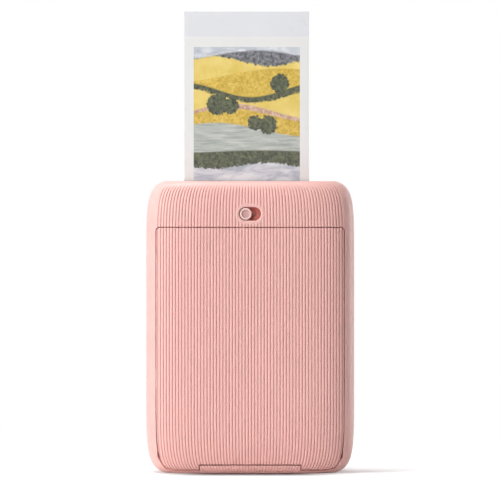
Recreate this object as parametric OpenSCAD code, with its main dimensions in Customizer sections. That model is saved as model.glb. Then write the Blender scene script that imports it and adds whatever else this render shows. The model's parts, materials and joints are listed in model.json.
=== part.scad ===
// Compact photo printer: pillow-shaped ribbed body, hinged film door, sliding latch,
// film pack, feed rollers with their gear train, exposing head, battery and board.
// Frame: +X right, the film door faces -Y, +Z up, origin at the centre of the base.

/* [Body] */
// Overall width of the body
body_w = 90; // [88:0.5:92]
// Overall depth of the body
body_d = 37.3; // [36.8:0.1:38.4]
// Overall height of the body
body_h = 126; // [125:0.5:127]
// Thickness of the moulded outer walls
wall = 1.8; // [1.7:0.05:1.9]
// Corner sharpness of the outline seen from the door side
front_power = 10; // [8:1:12]
// Corner sharpness of the outline seen from the side
side_power = 6; // [5:1:7]
// Corner sharpness of the outline seen from above
plan_power = 4; // [4:1:5]
// Share of the half height at which the flat top and base cut the pillow
flat_share = 0.985; // [0.98:0.001:0.99]

/* [Ribs] */
// Number of ribs on each broad side (odd, so one runs along the middle)
rib_count = 59; // [51:2:63]
// Where the last groove runs, as a share of the half width
rib_reach = 0.885; // [0.87:0.005:0.89]
// Depth of a groove between two ribs
rib_depth = 0.3; // [0.15:0.05:0.4]
// Share of half a rib pitch that the mouth of a groove takes on each side
groove_share = 0.42; // [0.3:0.02:0.6]

/* [Film door] */
// Height of the seam above the film door
door_top = 106; // [105:0.5:106.5]
// How far the seam at the door's sides runs inside the outline
door_inset = 4.5; // [4.4:0.1:4.8]
// Rounding of the two top corners of the door
door_corner = 1.7; // [1:0.1:2.5]
// Gap all round the door
door_gap = 0.25; // [0.2:0.05:0.3]
// Height of the lower edge of the two door feet
foot_bottom = 1.5; // [1.5:0.1:1.8]
// Height of the housing strip between the feet
strip_top = 3.8; // [3.6:0.1:4]
// Half width of the housing strip between the feet
strip_half = 22; // [21.8:0.1:22.4]
// Distance of the hinge axis from the middle plane
hinge_back = 14; // [13.9:0.05:14.1]
// Height of the hinge axis above the base
hinge_z = 8; // [7.9:0.05:8.1]
// Radius of the hinge pins
hinge_pin_r = 0.8; // [0.7:0.05:0.85]

/* [Latch] */
// Width of the latch recess
recess_w = 9.48; // [9:0.1:10]
// Height of the latch recess
recess_h = 5.84; // [5.6:0.1:6.2]
// Height of the middle of the recess above the base
recess_z = 111.9; // [111.6:0.1:112.2]
// Radius of the round latch knob
knob_r = 2.55; // [2.3:0.05:2.6]
// Travel of the latch
latch_travel = 3.64; // [3:0.1:3.7]

/* [Film] */
// Width of a film sheet
film_w = 54; // [53:0.5:54]
// Height of a film sheet
film_h = 86; // [84:0.5:86]
// Thickness of a film sheet
film_t = 0.5; // [0.4:0.05:0.5]
// Width of the picture on a sheet
picture_w = 46; // [44:0.5:46]
// Height of the picture on a sheet
picture_h = 62; // [60:0.5:62]
// Number of sheets left in the film pack
sheet_count = 9; // [1:1:9]
// How far the print has been fed out: height of its lower edge
print_z = 113.4; // [113.4:0.5:120]

/* [Feed] */
// Radius of the feed rollers
roller_r = 3; // [2.8:0.1:3]
// Height of the nip between the rollers
nip_z = 109.2; // [109:0.1:109.4]
// Free play between the flanks of two gears
backlash = 0.14; // [0.1:0.01:0.16]

/* [Controls] */
// Radius of the power button
button_r = 6; // [5.5:0.1:6.2]
// Height of the power button above the base
button_z = 76; // [74:0.5:78]
// Travel of the power button
button_travel = 0.6; // [0.4:0.1:0.7]

/* [Fits] */
// Radial play of a part that turns or slides in a bore
run_fit = 0.05; // [0.03:0.01:0.08]
// Play between parts that are only set in place
set_fit = 0.1; // [0.05:0.05:0.15]

/* [Hidden] */
// smoothness of the round parts
$fn = 48;
// overlap that keeps unions and cuts clean
eps = 0.02;
// larger overrun of a cutting tool
over = 4;
// facets of the round features inside the moulded shells, and of the latch recess
shell_fn = 16;
recess_fn = 36;

// half sizes of the pillow before the flat cuts
half_w = body_w / 2;
half_d = body_d / 2;
half_h = body_h / 2 / flat_share;
mid_z = body_h / 2;

// rows of the outer surface as shares of the half height
outer_rows_up = [0, 0.7, 0.84, 0.91, 0.955, flat_share];
// rows of the inner surface as shares of the half height
inner_rows_up = [0, 0.72, 0.87, 0.94, flat_share];
// columns of the smooth sides beside the ribs
side_columns = [0.915, 0.945, 0.97, 0.987, 0.996];
// columns of a smooth broad side
plain_columns = [0, 0.3, 0.5, 0.66, 0.78, 0.86];

// one value of a superellipse: 1 in the middle, 0 at the edge
function pillow(v, n) = pow(max(1 - pow(abs(v), n), 0), 1 / n);
// a list and its mirror image below zero, in rising order
function mirrored(v) = concat([for (i = [len(v) - 1:-1:0]) if (v[i] > 0) -v[i]], v);
function reversed(v) = [for (i = [len(v) - 1:-1:0]) v[i]];

// spacing of the ribs: equal steps along the curved plan outline
function plan_stretch(s) =
    sqrt(1 + pow(half_d / half_w, 2) * pow(s, 2 * plan_power - 2)
        / pow(1 - pow(s, plan_power), 2 - 2 / plan_power));
function walk(n, step) =
    [for (i = 0, s = 0; i <= n; i = i + 1, s = s + step / plan_stretch(s + step / 2)) s];
// half a rib pitch, found so that the last groove lands at rib_reach
walk_first = walk(rib_count, rib_reach / rib_count);
walk_second = walk(rib_count, rib_reach / rib_count * rib_reach / walk_first[rib_count]);
half_pitches = walk(rib_count, rib_reach / rib_count * pow(rib_reach, 2)
    / walk_first[rib_count] / walk_second[rib_count]);
function half_pitch_at(j) =
    let (k = floor(j), f = j - k)
    k >= rib_count ? rib_reach + f * (rib_reach - half_pitches[rib_count - 1])
        : half_pitches[k] * (1 - f) + half_pitches[k + 1] * f;

// columns as [share of the half width, groove depth]
door_half = [for (j = [1:2:rib_count]) each [
    [half_pitch_at(j - groove_share), 0],
    [half_pitch_at(j), rib_depth],
    [half_pitch_at(j + groove_share), 0]]];
front_half = concat([[0, 0]], [for (j = [1:2:rib_count]) each [
    [half_pitch_at(j), rib_depth],
    [half_pitch_at(j + 1), 0]]]);
side_half = [for (s = side_columns) [s, 0]];
plain_half = concat([for (s = plain_columns) [s, 0]], side_half);
function both_ways(v) =
    concat([for (i = [len(v) - 1:-1:0]) if (v[i][0] > 0) [-v[i][0], v[i][1]]], v);
// closed loops seen from above: the door side (y < 0), the front side (y > 0), both
function door_loop(v) = concat([[-1, -1, 0]], [for (p = both_ways(v)) [p[0], -1, p[1]]], [[1, -1, 0]]);
function front_loop(v) =
    concat([[1, 1, 0]], [for (p = reversed(both_ways(v))) [p[0], 1, p[1]]], [[-1, 1, 0]]);
function full_loop(v) = concat([[-1, -1, 0]], [for (p = both_ways(v)) [p[0], -1, p[1]]],
    [[1, 1, 0]], [for (p = reversed(both_ways(v))) [p[0], 1, p[1]]]);

// closed solid from a loop of columns [share of width, side of Y, groove depth]
// and a list of height shares
module pillow_solid(loop, rows, a, b, c) {
    n = len(loop);
    m = len(rows);
    points = [for (f = rows) for (p = loop) [
        p[0] * a * pillow(f, front_power),
        p[1] * (b * pillow(f, side_power) * pillow(p[0], plan_power) - p[2]),
        mid_z + f * c]];
    sides = [for (i = [0:m - 2]) for (j = [0:n - 1])
        let (k = (j + 1) % n, p = i * n + j, q = i * n + k)
        each [[p, p + n, q + n], [p, q + n, q]]];
    caps = [[for (j = [0:n - 1]) j], [for (j = [n - 1:-1:0]) (m - 1) * n + j]];
    polyhedron(points = points, faces = concat(sides, caps), convexity = 8);
}
// the body without ribs, drawn in by a distance on all sides
module plain_body(inset) {
    pillow_solid(full_loop(plain_half), mirrored(inner_rows_up),
        half_w - inset, half_d - inset, (body_h / 2 - inset) / flat_share);
}
// the door side without ribs, drawn in by a distance
module smooth_door_half(inset) {
    pillow_solid(door_loop(plain_half), mirrored(outer_rows_up),
        half_w - inset, half_d - inset, (body_h / 2 - inset) / flat_share);
}
// the ribbed half on the door side and the one on the front side, both hollow
module door_half_shell() {
    difference() {
        pillow_solid(door_loop(concat(door_half, side_half)), mirrored(outer_rows_up),
            half_w, half_d, half_h);
        plain_body(wall);
    }
}
module front_half_shell() {
    difference() {
        pillow_solid(front_loop(concat(front_half, side_half)), mirrored(outer_rows_up),
            half_w, half_d, half_h);
        plain_body(wall);
    }
}

// box from three [low, high] pairs
module span(x, y, z) {
    translate([x[0], y[0], z[0]]) cube([x[1] - x[0], y[1] - y[0], z[1] - z[0]]);
}
// cylinders along the three axes
module rod_x(r, x, y, z) {
    translate([x[0], y, z]) rotate([0, 90, 0]) cylinder(r = r, h = x[1] - x[0]);
}
module rod_y(r, x, y, z) {
    translate([x, y[0], z]) rotate([-90, 0, 0]) cylinder(r = r, h = y[1] - y[0]);
}
module rod_z(r, x, y, z) {
    translate([x, y, z[0]]) cylinder(r = r, h = z[1] - z[0]);
}
// 2D shape in X and Z, drawn out along Y
module along_y(y) {
    translate([0, y[1], 0]) rotate([90, 0, 0]) linear_extrude(y[1] - y[0]) children();
}
// 2D shape in Y and Z, drawn out along X
module along_x(x) {
    translate([x[0], 0, 0]) rotate([90, 0, 90]) linear_extrude(x[1] - x[0]) children();
}

hinge_y = -hinge_back;
// outline of the film door, right half, from the strip up to the top corner
foot_in = [13.2, 10.7];
foot_turn = [half_w - foot_in[0], half_w - foot_in[1]];
seam_heights = [2.4, 3.4, 4.8, 6.6, 9, 13, 19, 30];
function half_width_at(z) = half_w * pillow((z - mid_z) / half_h, front_power);
door_right = concat(
    [[strip_half, strip_top], [strip_half, foot_bottom], [foot_turn[0], foot_bottom],
     [foot_turn[1], foot_bottom + door_gap]],
    [for (z = seam_heights) [half_width_at(z) - door_inset - door_gap / z, z]],
    [for (a = [0:30:90]) [half_w - door_inset - door_corner * (1 - cos(a)),
        door_top - door_corner * (1 - sin(a))]]);
module door_outline() {
    polygon(concat(door_right, reversed([for (p = door_right) [-p[0], p[1]]])));
}
// how far inwards the door's lower edge reaches: middle, then beside the film pack
door_lip = [hinge_y, -11.6];
lip_half = 33;
// play between the door's lower edge and the space cut for its swing
sweep_play = 0.15;
// how far inwards the opening for the door is cut
opening_back = -9.5;
// the space that the door's lower edge sweeps: [radius, half width]
foot_sweep_in = [[6.86, 9.8], [6.62, 8.3], [5.2, 6.2], [3.2, 4.9]];
foot_sweep = [for (p = foot_sweep_in) [p[0], half_w - p[1]]];
strip_sweep = 4.78;
strip_back = -11.4;
sweep_fn = 64;

// pocket round the hinge in the cover
hinge_pocket_r = 1.65;
hinge_pocket = [16.9, 22.8];
// pads inside the cover that the door frame is bonded to: [x, z]
cover_pads = [[20, 32], [20, 62], [20, 92]];
pad_r = 2.4;
frame_t = 1;
frame_y = [hinge_y - frame_t - 0.1, hinge_y - 0.1];

module film_door_cover() {
    $fn = shell_fn;
    color([0.94, 0.76, 0.73])
    resize([0, 0, 0])
    difference() {
        union() {
            intersection() {
                door_half_shell();
                along_y([-half_d - over, 0]) door_outline();
            }
            for (side = [-1, 1], p = cover_pads)
                rod_y(pad_r, side * p[0], [frame_y[0] - wall, frame_y[0]], p[1]);
        }
        // the lower edge is drawn back in the middle and before the film pack
        span([-strip_half - eps, strip_half + eps], [door_lip[0], 0], [0, hinge_z]);
        span([-lip_half, lip_half], [door_lip[1], 0], [0, hinge_z]);
        // and stays inside the space that it sweeps
        difference() {
            span([-half_w, half_w], [hinge_y, 0], [0, hinge_z]);
            for (p = foot_sweep)
                rod_x(p[0] - sweep_play, [sweep_play - p[1], p[1] - sweep_play],
                    hinge_y, hinge_z, $fn = sweep_fn);
        }
        for (side = [-1, 1])
            rod_x(hinge_pocket_r, side > 0 ? hinge_pocket : [-hinge_pocket[1], -hinge_pocket[0]],
                hinge_y, hinge_z);
    }
}

// latch: knob centre at rest, recess centre, depths along Y
recess_x = -0.1;
knob_x = -1.9;
recess_floor = -16.6;
floor_t = 1.2;
latch_face = recess_floor + floor_t;
knob_h = 1.2;
knob_face = recess_floor - set_fit - knob_h;
knob_stem_r = 0.9;
// smooth lip round the recess
lip = 1.8;
lip_drop = 0.04;
module stadium(w, h) {
    hull()
        for (side = [-1, 1]) translate([side * (w - h) / 2, 0]) circle(r = h / 2, $fn = recess_fn);
}
module recess_shape(extra) {
    translate([recess_x, recess_z]) stadium(recess_w + 2 * extra, recess_h + 2 * extra);
}
// latch slide: plate behind the recess and its tongue
slide_y = [latch_face + set_fit, latch_face + set_fit + 1];
slide_x = [knob_x - 6.1, knob_x + 6.9];
slide_z = [recess_z - 3.3, recess_z + 2.5];
tongue_x = [knob_x - 3.1, knob_x + 2.9];
// top of the door's catch, and the tongue just above it
catch_top = door_top - 2.8;
tongue_z = catch_top + 0.3;
rail_h = 1.2;
rail_y = [slide_y[0] - 1.5, slide_y[1] + 0.7];
rail_lip = 0.5;
// post and depth of the latch spring
spring_post_x = [slide_x[0] - 7.4, slide_x[0] - 6];
spring_post_z = [recess_z - 2.1, recess_z + 1.3];
spring_wire = 0.35;

// exit slot and its bezel in the top
film_x = -1.5;
film_y = 0.85;
slot_w = 57;
slot_d = 3;
bezel_w = 63;
bezel_d = 9;
flange_edge = 0.5;
flange_t = 1.2;
top_in = body_h - wall;

// screws that join the two housings: [side, height]
screw_in = 8.1;
screw_rows_in = [8.2, 7.6];
screw_x = half_w - screw_in;
screw_rows = [screw_rows_in[0], body_h - screw_rows_in[1]];
post_r = 2.2;
post_back = -5.8;
post_front = 12;
screw_r = 0.8;
screw_hole_r = 0.95;
screw_head_r = 1.7;
screw_head_h = 1;
head_seat = 10;
housing_screw_l = 13.6;

// the film chamber
// how much the pack is wider and higher than the film
pack_over = [7.6, 6];
pack_w = film_w + pack_over[0];
pack_h = film_h + pack_over[1];
pack_z = 11;
pack_y = [-13, 2.4];
chamber_wall = 1.9;
chamber_play = 0.4;
chamber_in_x = [film_x - pack_w / 2 - chamber_play, film_x + pack_w / 2 + chamber_play];
chamber_x = [chamber_in_x[0] - chamber_wall, chamber_in_x[1] + chamber_wall];
chamber_back = pack_y[1] + 0.2;
chamber_y = [pack_y[0] + 0.6, chamber_back + 1.4];
chamber_roof = pack_z + pack_h + chamber_play;
chamber_z = [pack_z - 2.2, chamber_roof + 2.5];
window_x = [film_x - picture_w / 2, film_x + picture_w / 2];
chamber_window_z = [36, pack_z + pack_h - 1.2];
case_window_z = [28, pack_z + pack_h - 1.2];
exit_half = 1;
// arm between a hinge lug and the chamber
lug_arm_z = [8.3, 10.4];
// tabs that carry the chamber: centre of the screw and heights
tab_x = [chamber_x[0] - 2.8, chamber_x[1] + 2.8];
tab_rows = [26, 70];
tab_r = 2.4;
tab_t = 1.8;
tab_y = [chamber_y[1] - tab_t, chamber_y[1]];

// power button and light ring in the front side
ring_r = [6.1, 7.3];
ring_flange_r = 8.4;
ring_seat = 16;
ring_face = 18.4;
ring_flange_t = 1;
button_face = 18.45;
button_lip_r = 6.9;

// main board: thickness, place; the sockets in the left side sit on it
board_t = 1.2;
board_front = 9.2;
board_y = [board_front, board_front + board_t];
port_y = board_y[1] + 1.65;
port_z = 40;
port_w = 9.5;
port_d = 3.9;
// socket: length, width, height; where its mouth lies
usb = [7.3, 8.94, 3.2];
usb_mouth_in = 4;
usb_mouth = usb_mouth_in - half_w;
reset_z = 54;
reset_r = 0.8;
// screws along Y: how deep they reach behind the tabs
chassis_screw_l = 6;

module housing_posts(y) {
    for (side = [-1, 1], z = screw_rows) {
        rod_y(post_r, side * screw_x, y, z);
        span([side * screw_x - wall / 2, side * screw_x + wall / 2], y,
            z > mid_z ? [z, top_in + eps] : [wall - eps, z]);
        span(side > 0 ? [screw_x, screw_x + 2 * post_r] : [-screw_x - 2 * post_r, -screw_x], y,
            [z - wall / 2, z + wall / 2]);
    }
}
// everything that stands inside the pillow, cut off at the outer wall's middle
module inside_the_wall() {
    intersection() {
        children();
        plain_body(wall / 2);
    }
}
module door_opening() {
    along_y([-half_d - over, opening_back]) offset(delta = door_gap) door_outline();
    difference() {
        for (p = foot_sweep) rod_x(p[0], [-p[1], p[1]], hinge_y, hinge_z, $fn = sweep_fn);
        // the strip between the feet stays
        span([-strip_half, strip_half] + [door_gap, -door_gap], [-half_d - over, strip_back],
            [-over, strip_top]);
    }
    rod_x(strip_sweep, [-strip_half, strip_half], hinge_y, hinge_z, $fn = sweep_fn);
}
module rear_housing() {
    $fn = shell_fn;
    color([0.95, 0.78, 0.75])
    resize([0, 0, 0])
    difference() {
        union() {
            door_half_shell();
            // smooth lip round the latch and the recess's floor behind it
            intersection() {
                smooth_door_half(lip_drop);
                along_y([-half_d, latch_face]) recess_shape(lip);
            }
            inside_the_wall() {
                housing_posts([post_back, 0]);
                // rails of the latch slide
                for (side = [-1, 1]) {
                    z = side > 0 ? slide_z[1] + set_fit : slide_z[0] - set_fit - rail_h;
                    span([slide_x[0], slide_x[1] + latch_travel], rail_y, [z, z + rail_h]);
                    span([slide_x[0], slide_x[1] + latch_travel],
                        [slide_y[1] + set_fit, rail_y[1]],
                        side > 0 ? [z - rail_lip, z + rail_h] : [z, z + rail_h + rail_lip]);
                }
                // post that holds the end of the latch spring
                span(spring_post_x, rail_y, spring_post_z);
            }
        }
        door_opening();
        along_y([-half_d - over, recess_floor]) recess_shape(0);
        // way for the knob's stem
        translate([knob_x + latch_travel / 2, 0, recess_z])
            along_y([recess_floor - over, latch_face + over])
                stadium(latch_travel + 2 * knob_stem_r + 2 * set_fit, 2 * knob_stem_r + 2 * set_fit);
        // way for the tongue through the lower rail
        span([tongue_x[0] - set_fit, tongue_x[1] + latch_travel + set_fit],
            [slide_y[0] - set_fit, rail_y[1] + eps], [door_top, slide_z[0]]);
        // opening for the bezel
        span([film_x - bezel_w / 2 - set_fit, film_x + bezel_w / 2 + set_fit],
            [film_y - bezel_d / 2 - set_fit, film_y + bezel_d / 2 + set_fit],
            [top_in - over, body_h + over]);
        for (side = [-1, 1], z = screw_rows)
            rod_y(screw_hole_r, side * screw_x, [post_back - over, over], z);
    }
}
module front_housing() {
    $fn = shell_fn;
    color([0.95, 0.78, 0.75])
    resize([0, 0, 0])
    difference() {
        union() {
            front_half_shell();
            inside_the_wall() {
                housing_posts([0, post_front + 2 * over]);
                // bosses under the chamber's tabs
                for (x = tab_x, z = tab_rows) {
                    rod_y(tab_r, x, [tab_y[1], half_d], z);
                    span(x > 0 ? [x, half_w] : [-half_w, x], [tab_y[1], half_d],
                        [z - wall / 2, z + wall / 2]);
                }
                rod_y(ring_flange_r + wall / 2, 0, [ring_seat, half_d], button_z);
            }
        }
        rod_y(ring_r[1] + set_fit, 0, [ring_seat - over, half_d + over], button_z, $fn = recess_fn);
        // opening for the bezel
        span([film_x - bezel_w / 2 - set_fit, film_x + bezel_w / 2 + set_fit],
            [film_y - bezel_d / 2 - set_fit, film_y + bezel_d / 2 + set_fit],
            [top_in - over, body_h + over]);
        // mouth of the port, and room for the socket's body behind it
        translate([-half_w - over, port_y, port_z]) rotate([0, 90, 0])
            linear_extrude(over + half_w + usb_mouth + usb[0]) stadium(port_w, port_d);
        rod_x(reset_r + 2 * run_fit, [-half_w - over, -half_w + 2 * over], port_y, reset_z);
        for (side = [-1, 1], z = screw_rows) {
            rod_y(screw_hole_r, side * screw_x, [-over, half_d + over], z);
            rod_y(screw_head_r + set_fit, side * screw_x, [head_seat, half_d + over], z);
        }
        for (x = tab_x, z = tab_rows)
            rod_y(screw_hole_r, x, [tab_y[1] - over, tab_y[1] + chassis_screw_l], z);
    }
}

// ribbon of one thickness along a list of points, thickened by a shift
module ribbon(path, shift) {
    polygon(concat(path, reversed([for (p = path) p + shift])));
}
// flat meander spring along the first direction, centred on a line in the second
module meander(from, to, middle, reach, turns, t) {
    step = (to - from - t) / turns;
    for (i = [0:turns]) translate([from + i * step, middle - reach]) square([t, 2 * reach]);
    for (i = [0:turns - 1])
        translate([from + i * step, i % 2 == 0 ? middle + reach - t : middle - reach])
            square([step + t, t]);
}
module screw_y(x, z, seat, length, way) {
    rod_y(screw_r, x, way > 0 ? [seat - eps, seat + length] : [seat - length, seat + eps], z);
    difference() {
        rod_y(screw_head_r, x, way > 0 ? [seat - screw_head_h, seat] : [seat, seat + screw_head_h], z);
        translate([x, way > 0 ? seat - screw_head_h : seat + screw_head_h, z])
            for (turn = [0, 90]) rotate([0, turn, 0])
                cube([2 * screw_r, screw_head_h, screw_r / 2], center = true);
    }
}

// hinge: ear of the door frame and lug of the chamber beside it, as distances from the middle
ear_x = [17.4, 19.7];
lug_x = [19.8, 21.8];
hub_r = 1.45;
arm_y = [-14.8, -13.4];
frame_half = 29.5;
frame_z = [20, door_top - 5];
frame_window = [15, 26, 95];
frame_bar = [57, 67];
catch_x = [-4.5, 0.5];
function sided(x, side) = side > 0 ? x : [-x[1], -x[0]];

module film_door_frame() {
    color([0.2, 0.2, 0.22])
    difference() {
        union() {
            span([-frame_half, frame_half], frame_y, frame_z);
            span(catch_x, frame_y, [frame_z[1] - eps, catch_top]);
            for (side = [-1, 1]) {
                span(sided(ear_x, side), arm_y, [hinge_z, frame_z[0] + wall]);
                rod_x(hub_r, sided(ear_x, side), hinge_y, hinge_z);
            }
        }
        for (z = [[frame_window[1], frame_bar[0]], [frame_bar[1], frame_window[2]]])
            span([-frame_window[0], frame_window[0]], frame_y + [-over, over], z);
        for (side = [-1, 1])
            rod_x(hinge_pin_r + run_fit, sided(ear_x + [-over, over], side), hinge_y, hinge_z);
    }
}
module hinge_pins() {
    color([0.75, 0.75, 0.77])
    for (side = [-1, 1])
        rod_x(hinge_pin_r, sided([ear_x[0], lug_x[1]], side), hinge_y, hinge_z);
}
// leaf springs between the door frame and the film pack: [x, half width], feet and crest
leaf = [20, 2.5];
leaf_t = 0.3;
leaf_rise = 0.7;
leaf_z = [36, 42, 57, 67, 82, 88];
module pack_springs() {
    color([0.78, 0.78, 0.76])
    for (side = [-1, 1])
        along_x([side * leaf[0] - leaf[1], side * leaf[0] + leaf[1]])
            polygon(concat(
                [for (i = [0:5]) [frame_y[1] + (i == 2 || i == 3 ? leaf_rise : 0), leaf_z[i]]],
                [for (i = [5:-1:0])
                    [frame_y[1] + leaf_t + (i == 2 || i == 3 ? leaf_rise : 0), leaf_z[i]]]));
}
seal_t = 0.6;
seal_bottom = 18;
module door_light_seal() {
    color([0.12, 0.12, 0.13])
    difference() {
        span(chamber_x, [chamber_y[0] - seal_t, chamber_y[0]], [seal_bottom, chamber_z[1]]);
        span(chamber_in_x, [chamber_y[0] - over, chamber_y[0] + over], [0, chamber_roof]);
    }
}

knob_dish_r = 3.8;
knob_dish = 0.35;
module latch_knob() {
    color([0.97, 0.84, 0.82])
    difference() {
        union() {
            rod_y(knob_r, knob_x, [knob_face, recess_floor - set_fit], recess_z);
            rod_y(knob_stem_r, knob_x, [recess_floor - set_fit - eps, slide_y[1]], recess_z);
        }
        translate([knob_x, knob_face + knob_dish - knob_dish_r, recess_z]) sphere(r = knob_dish_r);
    }
}
module latch_slide() {
    color([0.25, 0.25, 0.27])
    difference() {
        union() {
            span(slide_x, slide_y, slide_z);
            span(tongue_x, slide_y, [tongue_z, slide_z[0] + eps]);
        }
        rod_y(knob_stem_r, knob_x, slide_y + [-over, over], recess_z);
    }
}
module latch_spring() {
    color([0.72, 0.72, 0.74])
    along_y([slide_y[0] + set_fit, slide_y[1] - set_fit])
        meander(spring_post_x[1], slide_x[0], recess_z, 4 * spring_wire, 7, spring_wire);
}

// slot bezel and felt seals
seal_depth = 1.6;
skirt_t = 1;
skirt_drop = 7.6;
seal_h = 4;
skirt_bottom = body_h - skirt_drop;
seal_z = [skirt_bottom + 2 * set_fit, skirt_bottom + 2 * set_fit + seal_h];
film_half = film_t / 2;
module slot_bezel() {
    flange = bezel_w / 2 + flange_edge;
    color([0.96, 0.83, 0.81])
    difference() {
        union() {
            span([film_x - bezel_w / 2, film_x + bezel_w / 2],
                [film_y - bezel_d / 2, film_y + bezel_d / 2], [top_in - eps, body_h]);
            span([film_x - flange, film_x + flange],
                [film_y - bezel_d / 2 - flange_edge, film_y + bezel_d / 2 + flange_edge],
                [top_in - flange_t, top_in]);
            for (side = [-1, 1]) {
                y = film_y + side * (film_half + run_fit + seal_depth + skirt_t / 2);
                span([film_x - slot_w / 2, film_x + slot_w / 2], [y - skirt_t / 2, y + skirt_t / 2],
                    [skirt_bottom, top_in - flange_t + eps]);
            }
        }
        span([film_x - slot_w / 2, film_x + slot_w / 2],
            [film_y - slot_d / 2, film_y + slot_d / 2], [top_in - over, body_h + over]);
    }
}
module exit_seals() {
    color([0.1, 0.1, 0.1])
    for (side = [-1, 1]) {
        y = film_y + side * (film_half + run_fit + seal_depth / 2);
        span([film_x - slot_w / 2 + set_fit, film_x + slot_w / 2 - set_fit],
            [y - seal_depth / 2, y + seal_depth / 2], seal_z);
    }
}

// claw that pushes a sheet out of the pack
claw_x = [-9, -3];
claw_y = [chamber_y[1] + set_fit, chamber_y[1] + set_fit + 1.3];
claw_z = [11, 24];
finger_x = [-7.8, -4.2];
finger_z = [13.2, 14.2];
claw_travel = 8;
claw_slot = [12.8, 22.6];
guide_t = 1.1;
guide_y = claw_y[1] + 0.5;
hook_x = [-8, -4];
hook_z = [2.6, 4];
// posts for the board: x pair, z pair, radius
board_post_x = [-32.4, 24.5];
board_post_z = [20, 80];
board_post_r = 2;
board_screw_l = 3;
// brackets of the rollers on the chamber's sides
bracket_t = 1;
bracket_left_y = [-8.4, 8.4];
// how far they reach above the rollers, and below them: left, right
bracket_rise = 6.8;
bracket_drop = [15.2, 25.2];
bracket_left_z = [nip_z - bracket_drop[0], nip_z + bracket_rise];
bracket_right_y = [-8.4, 13.6];
bracket_right_z = [nip_z - bracket_drop[1], nip_z + bracket_rise];
bracket_screws_left = [[-6.5, 98], [0, 98]];
bracket_screws_right = [[-6.5, 87], [-6.5, 101]];

module film_chamber() {
    color([0.16, 0.16, 0.17])
    difference() {
        union() {
            difference() {
                span(chamber_x, chamber_y, chamber_z);
                span(chamber_in_x, [chamber_y[0] - over, chamber_back], [pack_z, chamber_roof]);
                rod_x(foot_sweep[0][0] + 4 * set_fit, [-half_w, half_w], hinge_y, hinge_z);
            }
            for (x = tab_x, z = tab_rows) {
                rod_y(tab_r, x, tab_y, z);
                span(x > 0 ? [chamber_x[1] - eps, x] : [x, chamber_x[0] + eps], tab_y,
                    [z - tab_r, z + tab_r]);
            }
            for (side = [-1, 1]) {
                rod_x(hub_r, sided(lug_x, side), hinge_y, hinge_z);
                span(sided(lug_x, side), [hinge_y, wall - foot_sweep[0][0]], lug_arm_z);
            }
            for (side = [-1, 1]) {
                x = side > 0 ? [claw_x[1] + set_fit, claw_x[1] + set_fit + guide_t]
                    : [claw_x[0] - set_fit - guide_t, claw_x[0] - set_fit];
                span(x, [chamber_y[1] - eps, guide_y], [claw_z[0], claw_z[1] + claw_travel]);
                span(side > 0 ? [x[0] - rail_lip, x[1]] : [x[0], x[1] + rail_lip],
                    [claw_y[1] + set_fit, guide_y], [claw_z[0], claw_z[1] + claw_travel]);
            }
            span(hook_x, [chamber_back, chamber_y[1]], [hook_z[0], chamber_z[0] + eps]);
            span(hook_x, [chamber_back, claw_y[1]], hook_z);
            for (x = board_post_x, z = board_post_z)
                rod_y(board_post_r, x, [chamber_y[1] - eps, board_y[0]], z);
        }
        span(window_x, [0, chamber_y[1] + eps], chamber_window_z);
        span(finger_x + [-2 * set_fit, 2 * set_fit], [0, chamber_y[1] + eps], claw_slot);
        span([film_x - film_w / 2 - 3 * set_fit, film_x + film_w / 2 + 3 * set_fit],
            [film_y - exit_half, film_y + exit_half], [chamber_roof - over, chamber_z[1] + over]);
        for (side = [-1, 1])
            rod_x(hinge_pin_r, sided(lug_x + [-eps, eps], side), hinge_y, hinge_z);
        for (x = tab_x, z = tab_rows) rod_y(screw_hole_r, x, tab_y + [-over, over], z);
        for (x = board_post_x, z = board_post_z)
            rod_y(screw_r, x, [board_y[0] - board_screw_l, board_y[0] + over], z);
        for (p = bracket_screws_left)
            rod_x(screw_r, [chamber_x[0] - over, chamber_in_x[0] + over], p[0], p[1]);
        for (p = bracket_screws_right)
            rod_x(screw_r, [chamber_in_x[1] - over, chamber_x[1] + over], p[0], p[1]);
    }
}
module pick_claw() {
    color([0.85, 0.85, 0.83]) {
        span(claw_x, claw_y, claw_z);
        span(finger_x, [film_y - film_half + run_fit, claw_y[0] + eps], finger_z);
    }
}
module claw_spring() {
    color([0.72, 0.72, 0.74])
    translate([0, claw_y[1] - 2 * set_fit, 0]) rotate([90, 0, 0])
        linear_extrude(claw_y[1] - claw_y[0] - 4 * set_fit)
            rotate(90) meander(hook_z[1], claw_z[0], -(hook_x[0] + hook_x[1]) / 2,
                4 * spring_wire, 7, spring_wire);
}

// film pack and film
case_wall = 1.2;
case_in_x = [film_x - film_w / 2 - 3 * set_fit, film_x + film_w / 2 + 3 * set_fit];
case_in_y = [pack_y[0] + case_wall, pack_y[1] - 1];
case_in_z = [pack_z + 1.6, pack_z + pack_h - 1.6];
sheet_z = case_in_z[0] + 1.8;
ledge_w = 4.8;
stack_face = 0.2;
sheet_gap = 0.05;
plate_y = [-5.7, -5.1];
plate_edge = 1;
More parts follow.
